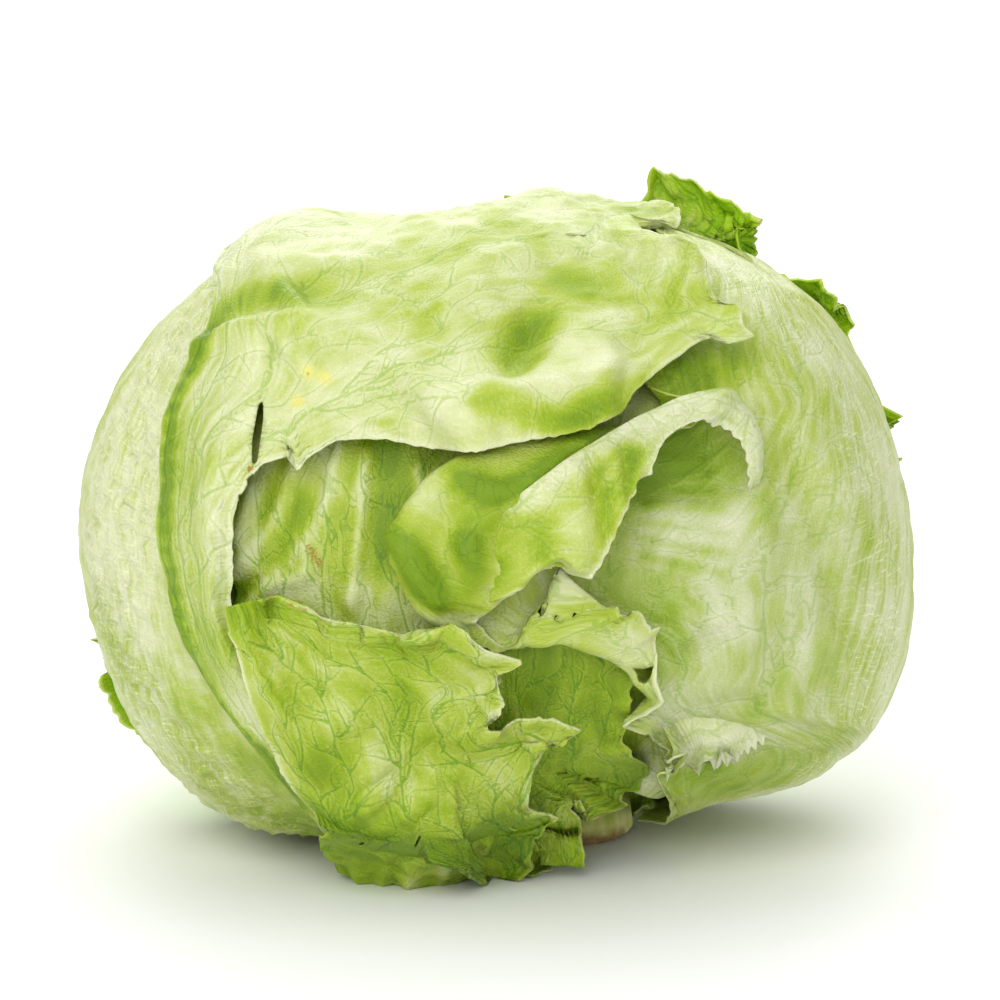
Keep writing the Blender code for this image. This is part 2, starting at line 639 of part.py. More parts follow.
LEAF_BACK_LEFT = dict(
    name="leaf_back_left", seed=9, inset=0.0, floor=3.0, sole=0.0, rows=24, columns=10, colour=LEAF_COLOUR,
    ribs=[
        (root(-90, 3), root(-130, 3), root(178, 3)),
        (around(-100, -60), around(-140, -60), around(178, -56)),
        (around(-103, -40), around(-140, -42), around(178, -40)),
        (around(-104, -22), around(-142, -22), around(176, -22)),
        (around(-110, -2), around(-143, -2), around(174, -4)),
        (around(-114, 18), around(-145, 16), around(174, 13)),
        (around(-122, 35), around(-150, 33), around(175, 29)),
        (around(-138, 47), around(-160, 45), around(178, 42)),
    ],
    free={"left": FRILLY_EDGE, "tip": FRILLY_EDGE},
    shaping=[([root(-130, 3), around(-140, -60), around(-142, -22), around(-145, 16)], 6.0, 2.0),
             ([around(-102, -27), around(-103, -20)], 8.0, 4.0)],
)

LEAF_BACK = dict(
    name="leaf_back", seed=10, inset=0.0, floor=0.0, sole=0.0, rows=34, columns=12, colour=LEAF_COLOUR,
    ribs=[
        (root(178, 0), root(145, 0), root(112, 0)),
        (around(-172, -55), around(146, -52), around(125, -54)),
        (around(-168, -38), around(145, -40), around(114, -38)),
        (around(-165, -20), around(145, -20), around(110, -20)),
        (around(-163, -2), around(144, -2), around(107, 0)),
        (around(-163, 9), around(144, 8), around(111, 9)),
        (around(-163, 18), around(144, 17), around(105, 18)),
        (around(-163, 26), around(145, 25), around(111, 26)),
        (around(-164, 34), around(145, 33), around(103, 35)),
        (around(-165, 42), around(146, 42), around(112, 44)),
        (around(-168, 52), around(147, 52), around(114, 53)),
        (around(-171, 59), around(149, 61), around(118, 62)),
    ],
    free={"left": SOFT_EDGE, "right": FRILLY_EDGE, "tip": FRILLY_EDGE},
    shaping=[([root(140, 0), around(145, -58), around(145, -20), around(146, 40)], 7.0, 2.5),
             ([around(122, 64)], 13.0, 10.0), ([around(104, 35)], 9.0, 5.0),
             ([around(104, 18)], 6.0, 3.0), ([around(126, -54)], 9.0, 8.0)],
)

LEAVES = [LEAF_INNER, LEAF_UNDER, LEAF_RIGHT, LEAF_LEFT, LEAF_CROWN, LEAF_LOW, LEAF_FRONT, LEAF_BACK_LEFT,
          LEAF_BACK]


def main():
    for obj in list(bpy.data.objects):
        bpy.data.objects.remove(obj, do_unlink=True)
    collection = bpy.data.collections.new("iceberg lettuce head")
    bpy.context.scene.collection.children.link(collection)
    add_stem(collection)
    inside = [add_heart(collection)]
    for leaf in LEAVES:
        add_leaf(leaf, inside, collection)
    bpy.context.view_layer.update()
    stand_on_origin(collection.objects)


main()
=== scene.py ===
"""The looks of an iceberg lettuce head: every leaf again, on the same ribs, as a fine sheet with its veins,
puckers and torn margins, and the cut stem.

The shapes are worked out as in the part's own source, so each fine leaf keeps the form of the leaf it stands
for. Everything about shape is in millimetres, and MM turns it into the scene's metres.
"""

import math
import random

import bpy
import numpy as np
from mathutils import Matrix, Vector, kdtree, noise
from mathutils.bvhtree import BVHTree


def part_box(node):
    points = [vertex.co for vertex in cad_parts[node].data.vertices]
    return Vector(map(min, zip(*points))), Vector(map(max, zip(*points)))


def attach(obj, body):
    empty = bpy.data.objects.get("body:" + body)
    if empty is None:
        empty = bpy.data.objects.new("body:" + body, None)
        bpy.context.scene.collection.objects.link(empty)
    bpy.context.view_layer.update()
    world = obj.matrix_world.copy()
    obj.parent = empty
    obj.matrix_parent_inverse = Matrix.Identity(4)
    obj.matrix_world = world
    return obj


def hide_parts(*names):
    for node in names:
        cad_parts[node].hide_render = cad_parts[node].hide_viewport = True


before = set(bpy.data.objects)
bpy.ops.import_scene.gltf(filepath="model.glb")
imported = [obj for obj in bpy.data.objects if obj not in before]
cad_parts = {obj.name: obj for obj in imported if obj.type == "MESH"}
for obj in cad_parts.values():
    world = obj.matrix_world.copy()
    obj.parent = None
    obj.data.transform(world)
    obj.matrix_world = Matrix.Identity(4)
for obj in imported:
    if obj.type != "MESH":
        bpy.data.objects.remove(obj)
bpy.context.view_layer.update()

# The scene is in metres, and everything below is in millimetres.
MM = 0.001

# The head as a whole: a rounded body about this middle, whose outline in the front view is OUTLINE.
HEAD_MIDDLE = np.array([0.0, 0.0, 68.0])
HEAD_RADIUS = 75.0
FRONT_DEPTH = 79.0
BACK_DEPTH = 76.0
ROUNDNESS = 2.15

# The leaves. BEND_ALLOWANCE is how many thicknesses a bent leaf takes up over the one inside it.
# EVEN_SHARE is how evenly a leaf's grid columns are spread: at 1 they don't draw together at the margins.
LEAF_THICKNESS = 0.9
LEAF_GAP = 0.7
BEND_ALLOWANCE = 1.3
EVEN_SHARE = 0.6
SWELL = 1.2
SWELL_SIZE = 38.0
SWELL_SHIFT = (7.3, 3.1, 5.7)

# A leaf's foot starts at its own floor height by the stem, and comes down to its sole height further out.
STACK_RADIUS = 24.0
STACK_FADE = 14.0

# Margins: their waves and teeth start this far from the foot, and the teeth reach this deep.
MARGIN_START = 25.0
TOOTH_DEPTH = 2.5
DENT_SHARE = 0.35
TOOTH_SIZE = 0.75
TOOTH_VARIETY = 0.8
TOOTH_RHYTHM = 0.9
WAVE_MIDDLE = 0.4
LEAST_LIFT = 0.2
LEAST_FLAP = 0.6
LEAST_BEND = 0.02

STEM_RADIUS = 15.0
STEM_HEIGHT = 19.5
STEM_CLEARANCE = 2.0
STEM_ABOVE = 3.0
STEM_TILT = math.radians(9.0)
STEM_UPHILL = np.array([-0.2, 0.98, 0.0])
STEM_FOOT = np.array([15.0, 2.0, 0.0])
STEM_SIDES = 128
STEM_RINGS = 31

# The frame stands on the middle of its box, and the shapes here are drawn about the head's middle.
STEM_BOX = np.array([corner[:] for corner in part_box("stem")]) / MM
FRAME_SHIFT = np.array([*(STEM_BOX.mean(axis=0) - STEM_FOOT)[:2], 0.0])

# How far a leaf's fine folds may sink towards the leaf inside it.
LEAST_ROOM = 0.3
HEM_ROOM = 0.9

# Fine work on the leaves. Sizes are in millimetres. THINNED is how far from its edge a leaf gets thinner.
EDGE_THICKNESS = 0.5
SOLE_THICKNESS = 0.2
THINNED = 18.0
FAR = 1000.0
DRAWN_REACH = 4.0
DRAWN_FADE = 12.0
MOVE_DEPTH = 15.0
MOVE_STEPS = 151
TOOTH_POINT = 1.3
TOOTH_REACH = 2.6
TOOTH_SINK = 0.25
SMALL_TOOTH = 0.4
SMALL_SPACING = 0.37
RUFFLE_LIFT = 0.35
NOISE_STEP = 17.3
EVENED = 12
VEIN_STEP = 0.6
VEIN_CELL = 2.0
VEIN_JOIN = 0.9
VEIN_FREE = 3.0
VEIN_SHORTEST = 4
VEIN_WANDER = 0.045
VEIN_OUTSIDE = 2.5
VEIN_SPACING = 12.0
MAIN_WIDTH = 0.6
SIDE_WIDTH = 0.5
FINE_WIDTH = 0.36
FINEST_WIDTH = 0.28
VEIN_TAPER = 0.6
MAIN_SWAY = 3.0
SWAY_SIZE = 14.0
EDGE_LIGHT = 0.32
EDGE_WIDTH = 0.6
QUILT = 0.38
QUILT_REACH = 1.9
PUCKER_SIZE = 15.0
SMALL_PUCKER = 6.5
WRINKLE_SIZE = 3.2
CROSS_SIZE = 2.4
CROSS_STRETCH = np.array([2.2, 0.8])

# Greens: how far the margin's own green reaches, how much greener a hollow is painted as shade, and how much
# paler a rib. DEEP_FOLD is how deep a fold has to be for the hollow's full painted shade.
DEEP_FOLD = 3.0
GREEN_REACH = 16.0
HOLLOW_SHADE_GREEN = 0.35
RIB_PALE = 0.3
RIB_GAIN = 1.6

# The stage. SENSOR is in millimetres, and the rest in metres. The lights face LIT_POINT.
SENSOR = 36.0
FLOOR_SIZE = 12.0
FLOOR_COLOUR = (0.93, 0.93, 0.93, 1.0)
LIT_POINT = Vector((0.0, 0.0, 0.07))
SKY = 0.72

# How much further from the head's middle leaf_inner's points would show if it lay at the head's surface.
INNER_SCALE = 1.13

# The head's outline in the front view: its radius every 15 degrees, anticlockwise from the right-hand side.
OUTLINE = [92.0, 89.5, 88.5, 83.5, 76.5, 73.8, 74.0, 73.6, 77.6, 85.0, 88.4, 92.0,
           92.8, 91.8, 90.2, 87.8, 79.5, 76.5, 76.2, 73.0, 71.5, 81.0, 92.5, 94.5]

# The front view is drawn as seen from this height angle and distance, about this point. UNIT is one of
# its units.
UNIT = 0.2208
VIEW_ANGLE = math.radians(10.0)
VIEW_DISTANCE = 950.0
VIEW_MIDDLE = np.array([0.0, 0.0, 75.5])
VIEW_CENTRE = 500.0
RIGHT = np.array([1.0, 0.0, 0.0])
UP = np.array([0.0, math.sin(VIEW_ANGLE), math.cos(VIEW_ANGLE)])
AWAY = np.array([0.0, math.cos(VIEW_ANGLE), -math.sin(VIEW_ANGLE)])
EYE = VIEW_MIDDLE - VIEW_DISTANCE * AWAY

# How finely a line of sight is searched for the head's surface, before and behind the view's middle.
SIGHT_BEFORE = 120.0
SIGHT_BEHIND = 40.0
SIGHT_STEPS = 641

# How finely the curve between two drawn points is measured, and a ridge or hollow is followed.
CURVE_STEPS = 24
RELIEF_STEPS = 30

# A ray that looks for the leaves inside starts this far from the middle.
OUTSIDE = 200.0

# Directions flatter than this are above the floor's reach.
LEAST_DOWN = 0.05


def unit(vectors):
    """The vectors at length 1."""
    return vectors / np.linalg.norm(vectors, axis=-1, keepdims=True)


def outline_radius(angle):
    """The head's radius in the front view at these angles, as a smooth closed curve through OUTLINE."""
    waves = np.fft.rfft(OUTLINE) / len(OUTLINE)
    radius = np.full(np.shape(angle), waves[0].real)
    for k in range(1, len(waves) - 1):
        radius = radius + 2 * (waves[k] * np.exp(1j * k * angle)).real
    return radius


def head_radius(direction):
    """How far the head reaches from its middle in each direction."""
    side, up, away = direction @ RIGHT, direction @ UP, direction @ AWAY
    across = np.hypot(side, up) / outline_radius(np.arctan2(up, side))
    depth = np.abs(away) / np.where(away < 0, FRONT_DEPTH, BACK_DEPTH)
    return (across**ROUNDNESS + depth**ROUNDNESS) ** (-1 / ROUNDNESS)


def seen(x, y):
    """The direction from the head's middle to its near surface at x, y of the front view, or to its rim."""
    target = VIEW_MIDDLE + ((x - VIEW_CENTRE) * RIGHT + (VIEW_CENTRE - y) * UP) * UNIT
    ray = unit(target - EYE)
    reaches = np.linspace(VIEW_DISTANCE - SIGHT_BEFORE, VIEW_DISTANCE + SIGHT_BEHIND, SIGHT_STEPS)
    points = EYE + np.outer(reaches, ray) - HEAD_MIDDLE
    outside = np.linalg.norm(points, axis=1) - head_radius(unit(points))
    hits = np.flatnonzero(outside < 0)
    return unit(points[hits[0] if len(hits) else int(np.argmin(outside))])


def around(longitude, latitude):
    """A direction by angles in degrees: longitude 0 is the front and 90 the right, latitude 90 the top."""
    lon, lat = math.radians(longitude), math.radians(latitude)
    return np.array([math.sin(lon) * math.cos(lat), -math.cos(lon) * math.cos(lat), math.sin(lat)])


def root(longitude, height):
    """The direction of a leaf's foot, just outside the stem on this side, at this height off the ground."""
    lon = math.radians(longitude)
    reach = STEM_RADIUS + STEM_CLEARANCE
    side = STEM_FOOT + reach * np.array([math.sin(lon), -math.cos(lon), 0.0]) - HEAD_MIDDLE
    side[2] = height - HEAD_MIDDLE[2]
    return unit(side)


class Chart:
    """A flat map of directions round a middle one, true to distance from it."""

    def __init__(self, middle):
        self.normal = unit(middle)
        helper = np.array([0.0, 0.0, 1.0]) if abs(self.normal[2]) < 0.9 else np.array([0.0, 1.0, 0.0])
        self.east = unit(np.cross(helper, self.normal))
        self.north = np.cross(self.normal, self.east)

    def flatten(self, direction):
        angle = np.arccos(np.clip(direction @ self.normal, -1, 1))
        stretch = angle / np.maximum(np.sin(angle), 1e-6)
        return np.stack([direction @ self.east * stretch, direction @ self.north * stretch], -1)

    def raise_up(self, flat):
        angle = np.maximum(np.linalg.norm(flat, axis=-1, keepdims=True), 1e-9)
        sideways = flat[..., :1] * self.east + flat[..., 1:] * self.north
        return np.cos(angle) * self.normal + np.sin(angle) / angle * sideways


def curve_at(points, places):
    """A smooth curve through the points, read at these places. Place 1.5 is halfway from point 1 to 2."""
    points = np.asarray(points, float)
    padded = np.concatenate([[2 * points[0] - points[1]], points, [2 * points[-1] - points[-2]]])
    k = np.clip(places.astype(int), 0, len(points) - 2)
    f = (places - k).reshape((-1,) + (1,) * (points.ndim - 1))
    a, b, c, d = padded[k], padded[k + 1], padded[k + 2], padded[k + 3]
    return 0.5 * (2 * b + (c - a) * f + (2 * a - 5 * b + 4 * c - d) * f**2 + (3 * b - a - 3 * c + d) * f**3)


def travelled(points):
    """The distance along a line of points, from its start to each of them."""
    return np.concatenate([[0.0], np.cumsum(np.linalg.norm(np.diff(points, axis=0), axis=-1))])


def even_places(points, count):
    """count + 1 even places along the curve. Where points hold several columns, the longest step counts."""
    fine = np.linspace(0, len(points) - 1, (len(points) - 1) * CURVE_STEPS + 1)
    steps = np.linalg.norm(np.diff(curve_at(points, fine), axis=0), axis=-1)
    steps = steps.reshape(len(steps), -1).max(1)
    passed = np.concatenate([[0], np.cumsum(steps)])
    return np.interp(np.linspace(0, passed[-1], count + 1), passed, fine)


def blade_map(leaf):
    """A leaf's flat chart, the place of each grid row among its ribs, and its grid of flat points."""
    ribs = [rib if len(rib) == 3 else (rib[0], unit(rib[0] + rib[1]), rib[1]) for rib in leaf["ribs"]]
    chart = Chart(np.mean([rib[1] for rib in ribs], axis=0))
    drawn = np.array([chart.flatten(np.array(rib)) for rib in ribs])
    if "hem" in leaf:
        drawn[:, 2] = hem_lines(leaf, chart, np.arange(len(ribs)))[0]
    places = even_places(drawn, leaf["rows"])
    left, middle, right = np.swapaxes(curve_at(drawn, places), 0, 1)[:, :, None]
    t = np.linspace(0, 1, leaf["columns"] + 1)
    t = (EVEN_SHARE * t + (1 - EVEN_SHARE) * (0.5 - 0.5 * np.cos(math.pi * t)))[None, :, None]
    flat = left * (2 * t**2 - 3 * t + 1) + middle * (4 * t - 4 * t**2) + right * (2 * t**2 - t)
    return chart, places, flat


def outermost(surfaces, direction):
    """How far out the outermost of these surfaces lies in one direction, or 0."""
    start = Vector(HEAD_MIDDLE + OUTSIDE * direction)
    reach = 0.0
    for surface in surfaces:
        hit = surface.ray_cast(start, Vector(-direction))[0]
        if hit is not None:
            reach = max(reach, (np.array(hit) - HEAD_MIDDLE) @ direction)
    return reach


def beneath(surfaces, directions):
    """How far out the leaves inside this one reach at each grid point, and within one cell of it."""
    rows, columns = directions.shape[:2]
    fine = np.zeros((2 * rows - 1, 2 * columns - 1))
    for i in range(2 * rows - 1):
        for j in range(2 * columns - 1):
            corners = directions[i // 2 : i // 2 + 1 + i % 2, j // 2 : j // 2 + 1 + j % 2]
            fine[i, j] = outermost(surfaces, unit(corners.reshape(-1, 3).mean(0)))
    padded = np.pad(fine, 2, mode="edge")
    near = [padded[a : a + fine.shape[0], b : b + fine.shape[1]] for a in range(5) for b in range(5)]
    return np.max(near, axis=0)[::2, ::2]


def blurred(values):
    """Each value averaged with its neighbours."""
    padded = np.pad(values, 1, mode="edge")
    beside = padded[:-2, 1:-1] + padded[2:, 1:-1] + padded[1:-1, :-2] + padded[1:-1, 2:]
    return (beside + 2 * values) / 6


def swell(directions, size, height, seed):
    """Soft random undulation: height in millimetres, size in millimetres across."""
    shift = Vector([seed * part for part in SWELL_SHIFT])
    flat = directions.reshape(-1, 3) * HEAD_RADIUS / size
    return height * np.array([noise.noise(Vector(p) + shift) for p in flat]).reshape(directions.shape[:2])


def teeth(count, seed):
    """The outward push of a toothed margin at each grid line along it: every other one is a tip."""
    size = [noise.noise(Vector((TOOTH_RHYTHM * k, seed, 9.5))) for k in range(count)]
    size = TOOTH_SIZE + TOOTH_VARIETY * np.array(size)
    return np.where(np.arange(count) % 2 == 1, size, -DENT_SHARE * size)


def side_index(side, shape, inward):
    """The grid indices of one side's points, or of those this many steps inward from them."""
    rows, columns = np.arange(shape[0]), np.arange(shape[1])
    return {
        "left": (rows, np.full(shape[0], inward)),
        "right": (rows, np.full(shape[0], shape[1] - 1 - inward)),
        "tip": (np.full(shape[1], shape[0] - 1 - inward), columns),
    }[side]


def margin_work(points, leaf):
    """Lifts, waves and teeth along a leaf's free margins."""
    out = unit(points - HEAD_MIDDLE)
    moved = points.copy()
    for side, margin in leaf.get("free", {}).items():
        edge = points[side_index(side, points.shape, 0)]
        along = travelled(edge)
        fade = np.clip(along / MARGIN_START, 0, 1) if side != "tip" else np.ones(len(along))
        outward = unit(edge - points[side_index(side, points.shape, 1)])
        seed = leaf["seed"] + len(side)
        wave = np.array([noise.noise(Vector((s / margin["wave_length"], seed, 3.5))) for s in along])
        rise = np.maximum(margin["lift"] + margin["wave"] * (WAVE_MIDDLE + wave), LEAST_LIFT) * fade
        push = margin["tooth"] * teeth(len(along), seed) * fade
        across = 0 if side == "tip" else 1
        depth = np.linalg.norm(points - np.expand_dims(edge, across), axis=2)
        rise, push, outward = (np.expand_dims(values, across) for values in (rise, push, outward))
        moved += out * (rise * np.exp(-((depth / margin["lift_depth"]) ** 2)))[..., None]
        moved += outward * (push * np.exp(-((depth / TOOTH_DEPTH) ** 2)))[..., None]
    return moved


def relief(directions, shaping):
    """Ridges and hollows: each is a line of directions, its half width and its height in millimetres. Several
    heights are spread along the line."""
    total = np.zeros(directions.shape[:2])
    for line, width, height in shaping:
        places = unit(curve_at(line, even_places(line, RELIEF_STEPS))) if len(line) > 1 else np.array(line)
        along = directions @ places.T
        tall = np.interp(np.linspace(0, 1, len(places)), np.linspace(0, 1, np.size(height)), np.ravel(height))
        off = np.arccos(np.clip(np.max(along, axis=-1), -1, 1)) * HEAD_RADIUS
        total += tall[np.argmax(along, axis=-1)] * np.exp(-((off / width) ** 2))
    return total


def floor_height(directions, leaf):
    """How high a leaf stays off the ground: the feet are stacked at the stem, and come down further out."""
    down = np.maximum(-directions[..., 2], LEAST_DOWN)
    spread = (HEAD_MIDDLE[2] - leaf["floor"]) * np.hypot(directions[..., 0], directions[..., 1]) / down
    share = np.clip((spread - STACK_RADIUS) / STACK_FADE, 0, 1)
    return leaf["floor"] * (1 - share) + leaf["sole"] * share


def settled(directions, leaf, inside):
    """How far out each grid point lies, at the leaf's own level or over the leaves inside it, and how far it
    must at least."""
    level = head_radius(directions) - leaf["inset"] + relief(directions, leaf.get("shaping", ()))
    level = level + swell(directions, SWELL_SIZE, SWELL, leaf["seed"])
    ground = (HEAD_MIDDLE[2] - floor_height(directions, leaf)) / np.maximum(-directions[..., 2], LEAST_DOWN)
    level = np.where(directions[..., 2] < -LEAST_DOWN, np.minimum(level, ground), level)
    need = beneath(inside, directions) + leaf.get("gap", LEAF_GAP) + BEND_ALLOWANCE * LEAF_THICKNESS
    need = need - relief(directions, leaf.get("sunk", ()))
    reach = np.maximum(level, need)
    for _ in range(2):
        reach = np.maximum(blurred(reach), need)
    return reach, need


def clear_of_stem(points):
    """Pushes points out of the stem's cylinder."""
    axis = points[..., :2] - STEM_FOOT[:2]
    away = np.linalg.norm(axis, axis=-1, keepdims=True)
    wanted = np.maximum(away, STEM_RADIUS + STEM_CLEARANCE)
    moved = points.copy()
    low = points[..., 2:] < STEM_HEIGHT + STEM_ABOVE
    moved[..., :2] = np.where(low, STEM_FOOT[:2] + axis / away * wanted, points[..., :2])
    return moved


def hem_lines(leaf, chart, places):
    """A hem at these places: where the flat leaf ends, the way back over it, and the other numbers."""
    crest, free, *numbers = zip(*leaf["hem"])
    crest = curve_at(chart.flatten(np.array(crest)), places)
    free = curve_at(chart.flatten(np.array(free)), places)
    width = np.linalg.norm(free - crest, axis=1, keepdims=True)
    across = (free - crest) / width
    radius, turn, tooth = [np.interp(places, np.arange(len(row)), row)[:, None] for row in numbers]
    flap = np.maximum(width * HEAD_RADIUS - radius * turn, LEAST_FLAP)
    start = crest + across * (radius * turn + (1 - turn) * (math.pi * radius + flap)) / HEAD_RADIUS
    return start, across, flap, radius, turn, tooth


def rolled_hem(points, leaf, chart, places, toothing):
    """Grid columns that carry on from a leaf's last one, up and round a roll and on to the free edge, and
    their places on the leaf laid flat."""
    start, across, flap, radius, turn, tooth = hem_lines(leaf, chart, places)
    flap = flap + tooth * toothing[:, None]
    base = np.linalg.norm(points[:, -1] - HEAD_MIDDLE, axis=1) - head_radius(chart.raise_up(start))
    bend = np.maximum(turn, LEAST_BEND)
    columns = []
    for share in np.linspace(0, 1, leaf["roll_steps"] + 1)[1:]:
        angle = bend * math.pi * share
        columns.append((-np.sin(angle) * radius / bend, (1 - np.cos(angle)) * radius / bend,
                        math.pi * radius * share))
    out, up, rolled = columns[-1]
    for share in np.linspace(0, 1, leaf["flap_steps"] + 1)[1:]:
        along = flap * share
        columns.append((out - np.cos(math.pi * bend) * along, up + np.sin(math.pi * bend) * along,
                        rolled + along))
    made = []
    flat = []
    for out, up, length in columns:
        direction = chart.raise_up(start + across * out / HEAD_RADIUS)
        made.append(HEAD_MIDDLE + direction * (head_radius(direction) + base + up[:, 0])[:, None])
        flat.append(start - across * length / HEAD_RADIUS)
    return np.stack(made, axis=1), np.stack(flat, axis=1)


def solid_surface(obj):
    """A CAD node's surface, in millimetres and about the head's axis, for finding how far out it reaches."""
    vertices = [Vector(np.array(v.co[:]) / MM - FRAME_SHIFT) for v in obj.data.vertices]
    return BVHTree.FromPolygons(vertices, [list(p.vertices) for p in obj.data.polygons])


def finer(values, row_steps, column_steps):
    """A grid of values with each of its steps cut into several, on a smooth surface through them."""
    rows = np.arange((values.shape[0] - 1) * row_steps + 1) / row_steps
    columns = np.arange((values.shape[1] - 1) * column_steps + 1) / column_steps
    tall = curve_at(values, rows)
    return np.swapaxes(curve_at(np.swapaxes(tall, 0, 1), columns), 0, 1)


def face_normals(points):
    """The outward unit normal at each point of a grid."""
    down = np.gradient(points, axis=0)
    side = np.gradient(points, axis=1)
    normals = unit(np.cross(down, side) + 1e-9)
    middle = normals[points.shape[0] // 2, points.shape[1] // 4]
    if middle @ (points[points.shape[0] // 2, points.shape[1] // 4] - HEAD_MIDDLE) < 0:
        normals = -normals
    return normals


class Sheet:
    """A leaf's fine grid: its points, and for each of them its place on the leaf laid flat."""

    def __init__(self, leaf, inside):
        self.leaf = leaf
        steps = leaf["steps"]
        chart, places, flat = blade_map(leaf)
        directions = chart.raise_up(flat)
        reach, need = settled(directions, leaf, inside)
        points = margin_work(HEAD_MIDDLE + directions * reach[..., None], leaf)
        self.points = finer(points, *steps)
        self.flat = finer(flat, *steps) * HEAD_RADIUS
        self.room = np.maximum(finer((reach - need)[..., None], *steps)[..., 0], 0)
        self.blade = self.points.shape[1]
        rows = np.arange((len(places) - 1) * steps[0] + 1) / steps[0]
        self.places = np.interp(rows, np.arange(len(places)), places)
        if "hem" in leaf:
            self.add_hem(leaf, chart, rows)
        self.points = clear_of_stem(self.points)
        self.points[..., 2] = np.maximum(self.points[..., 2], leaf["sole"])
        self.normals = face_normals(self.points)
        self.measure()

    def add_hem(self, leaf, chart, rows):
        """The rolled hem, at the same fine places along the leaf."""
        toothing = curve_at(teeth(int(rows[-1]) + 1, leaf["seed"]), rows)
        made, flat = rolled_hem(self.points, leaf, chart, self.places, toothing)
        self.points = np.concatenate([self.points, made], axis=1)
        self.flat = np.concatenate([self.flat, flat * HEAD_RADIUS], axis=1)
        radius = np.interp(self.places, np.arange(len(leaf["hem"])), [line[2] for line in leaf["hem"]])
        room = np.broadcast_to(HEM_ROOM * radius[:, None], made.shape[:2])
        self.room = np.concatenate([self.room, room], axis=1)

    def measure(self):
        """Distances along and across the leaf, and from each point to its free margins."""
        along = travelled(self.points[:, self.points.shape[1] // 2])
        across = np.linalg.norm(np.diff(self.points, axis=1), axis=-1).mean(axis=0)
        across = np.concatenate([[0.0], np.cumsum(across)])
        self.strand = np.stack(np.broadcast_arrays(across[None, :], along[:, None]), axis=-1)
        self.margins = [self.margin(side) for side in self.leaf.get("free", {})]
        if "hem" in self.leaf:
            self.margins.append(self.margin("right"))

    def margin(self, side):
        """One free margin: the indices of its points, and the direction in which they face."""
        index = side_index(side, self.points.shape, 0)
        inner = side_index(side, self.points.shape, 2)
        return index, unit(self.points[index] - self.points[inner] + 1e-9)


def nearest_on(line, places):
    """For each place, the distance to the nearest point of a line and that point's number."""
    tree = kdtree.KDTree(len(line))
    for number, point in enumerate(line):
        tree.insert((point[0], point[1], 0.0), number)
    tree.balance()
    found = [tree.find((p[0], p[1], 0.0)) for p in places.reshape(-1, 2)]
    number = np.array([f[1] for f in found]).reshape(places.shape[:-1])
    distance = np.array([f[2] for f in found]).reshape(places.shape[:-1])
    return distance, number


def in_view(points):
    """Where points lie in the front view."""
    aside = points - EYE
    depth = aside @ AWAY
    x = VIEW_CENTRE + (aside @ RIGHT) / depth * VIEW_DISTANCE / UNIT
    y = VIEW_CENTRE - (aside @ UP) / depth * VIEW_DISTANCE / UNIT
    return np.stack([x, y], axis=-1)


def along_outline(sheet, edge, outline, ribs):
    """How far along a drawn outline each margin point belongs. Ribs go to the nearest point of it."""
    line = np.array(outline, float)
    steps = int(travelled(line)[-1])
    target = np.linspace(0, travelled(line)[-1], steps)
    fine = np.stack([np.interp(target, travelled(line), line[:, k]) for k in (0, 1)], axis=-1)
    place = travelled(in_view(edge))
    if ribs is None:
        return place / place[-1] * target[-1]
    anchors = [0.0]
    for rib in ribs[1:-1]:
        spot = in_view(edge)[int(np.argmin(np.abs(sheet.places[sheet.part] - rib)))]
        near = target[np.argmin(np.linalg.norm(fine - spot, axis=1))]
        anchors.append(max(near, anchors[-1] + 1.0))
    anchors.append(max(target[-1], anchors[-1] + 1.0))
    return np.interp(sheet.places[sheet.part], ribs, anchors)


def moved_in_view(point, wanted):
    """The move that brings a point to this place in the front view, at its own height over the body."""
    aside = point - HEAD_MIDDLE
    height = np.linalg.norm(aside) - head_radius(unit(aside))
    depth = (point - EYE) @ AWAY
    offset = (wanted - in_view(point)) * UNIT * depth / VIEW_DISTANCE
    across = point + offset[0] * RIGHT - offset[1] * UP
    ray = unit(across - EYE)
    points = across + np.outer(np.linspace(-MOVE_DEPTH, MOVE_DEPTH, MOVE_STEPS), ray)
    outside = np.linalg.norm(points - HEAD_MIDDLE, axis=1) - head_radius(unit(points - HEAD_MIDDLE)) - height
    hits = np.flatnonzero(outside < 0)
    if len(hits) == 0 or hits[0] == 0:
        return across - point
    return points[hits[0]] - point


def draw_margins(sheet):
    """Moves free margins sideways, as seen from the front, onto the outlines drawn for them."""
    for side, first, last, outline in sheet.leaf.get("drawn", ()):
        index = sheet.margin(side)[0]
        edge = sheet.points[index]
        if side == "tip":
            share = np.linspace(0, 1, len(edge))
            part = (share >= first) & (share <= last)
            ribs = None
        else:
            part = (sheet.places >= first) & (sheet.places <= last)
            ribs = [first, *range(math.floor(first) + 1, math.ceil(last)), last]
        sheet.part = part
        line = np.array(outline, float)
        place = along_outline(sheet, edge[part], outline, ribs)
        wanted = np.stack([np.interp(place, travelled(line), line[:, k]) for k in (0, 1)], axis=-1)
        moves = np.zeros_like(edge)
        moves[part] = [moved_in_view(*pair) for pair in zip(edge[part], wanted)]
        ends = np.flatnonzero(part)
        for end, beyond in ((ends[0], slice(0, ends[0])), (ends[-1], slice(ends[-1] + 1, None))):
            fade = np.exp(-np.abs(np.arange(len(edge)) - end) / DRAWN_FADE)
            moves[beyond] = moves[end] * fade[beyond, None]
        distance, nearest = nearest_on(sheet.flat[index], sheet.flat)
        reach = DRAWN_REACH + np.linalg.norm(moves, axis=-1)[nearest]
        sheet.points = sheet.points + moves[nearest] * np.exp(-((distance / reach) ** 2))[..., None]


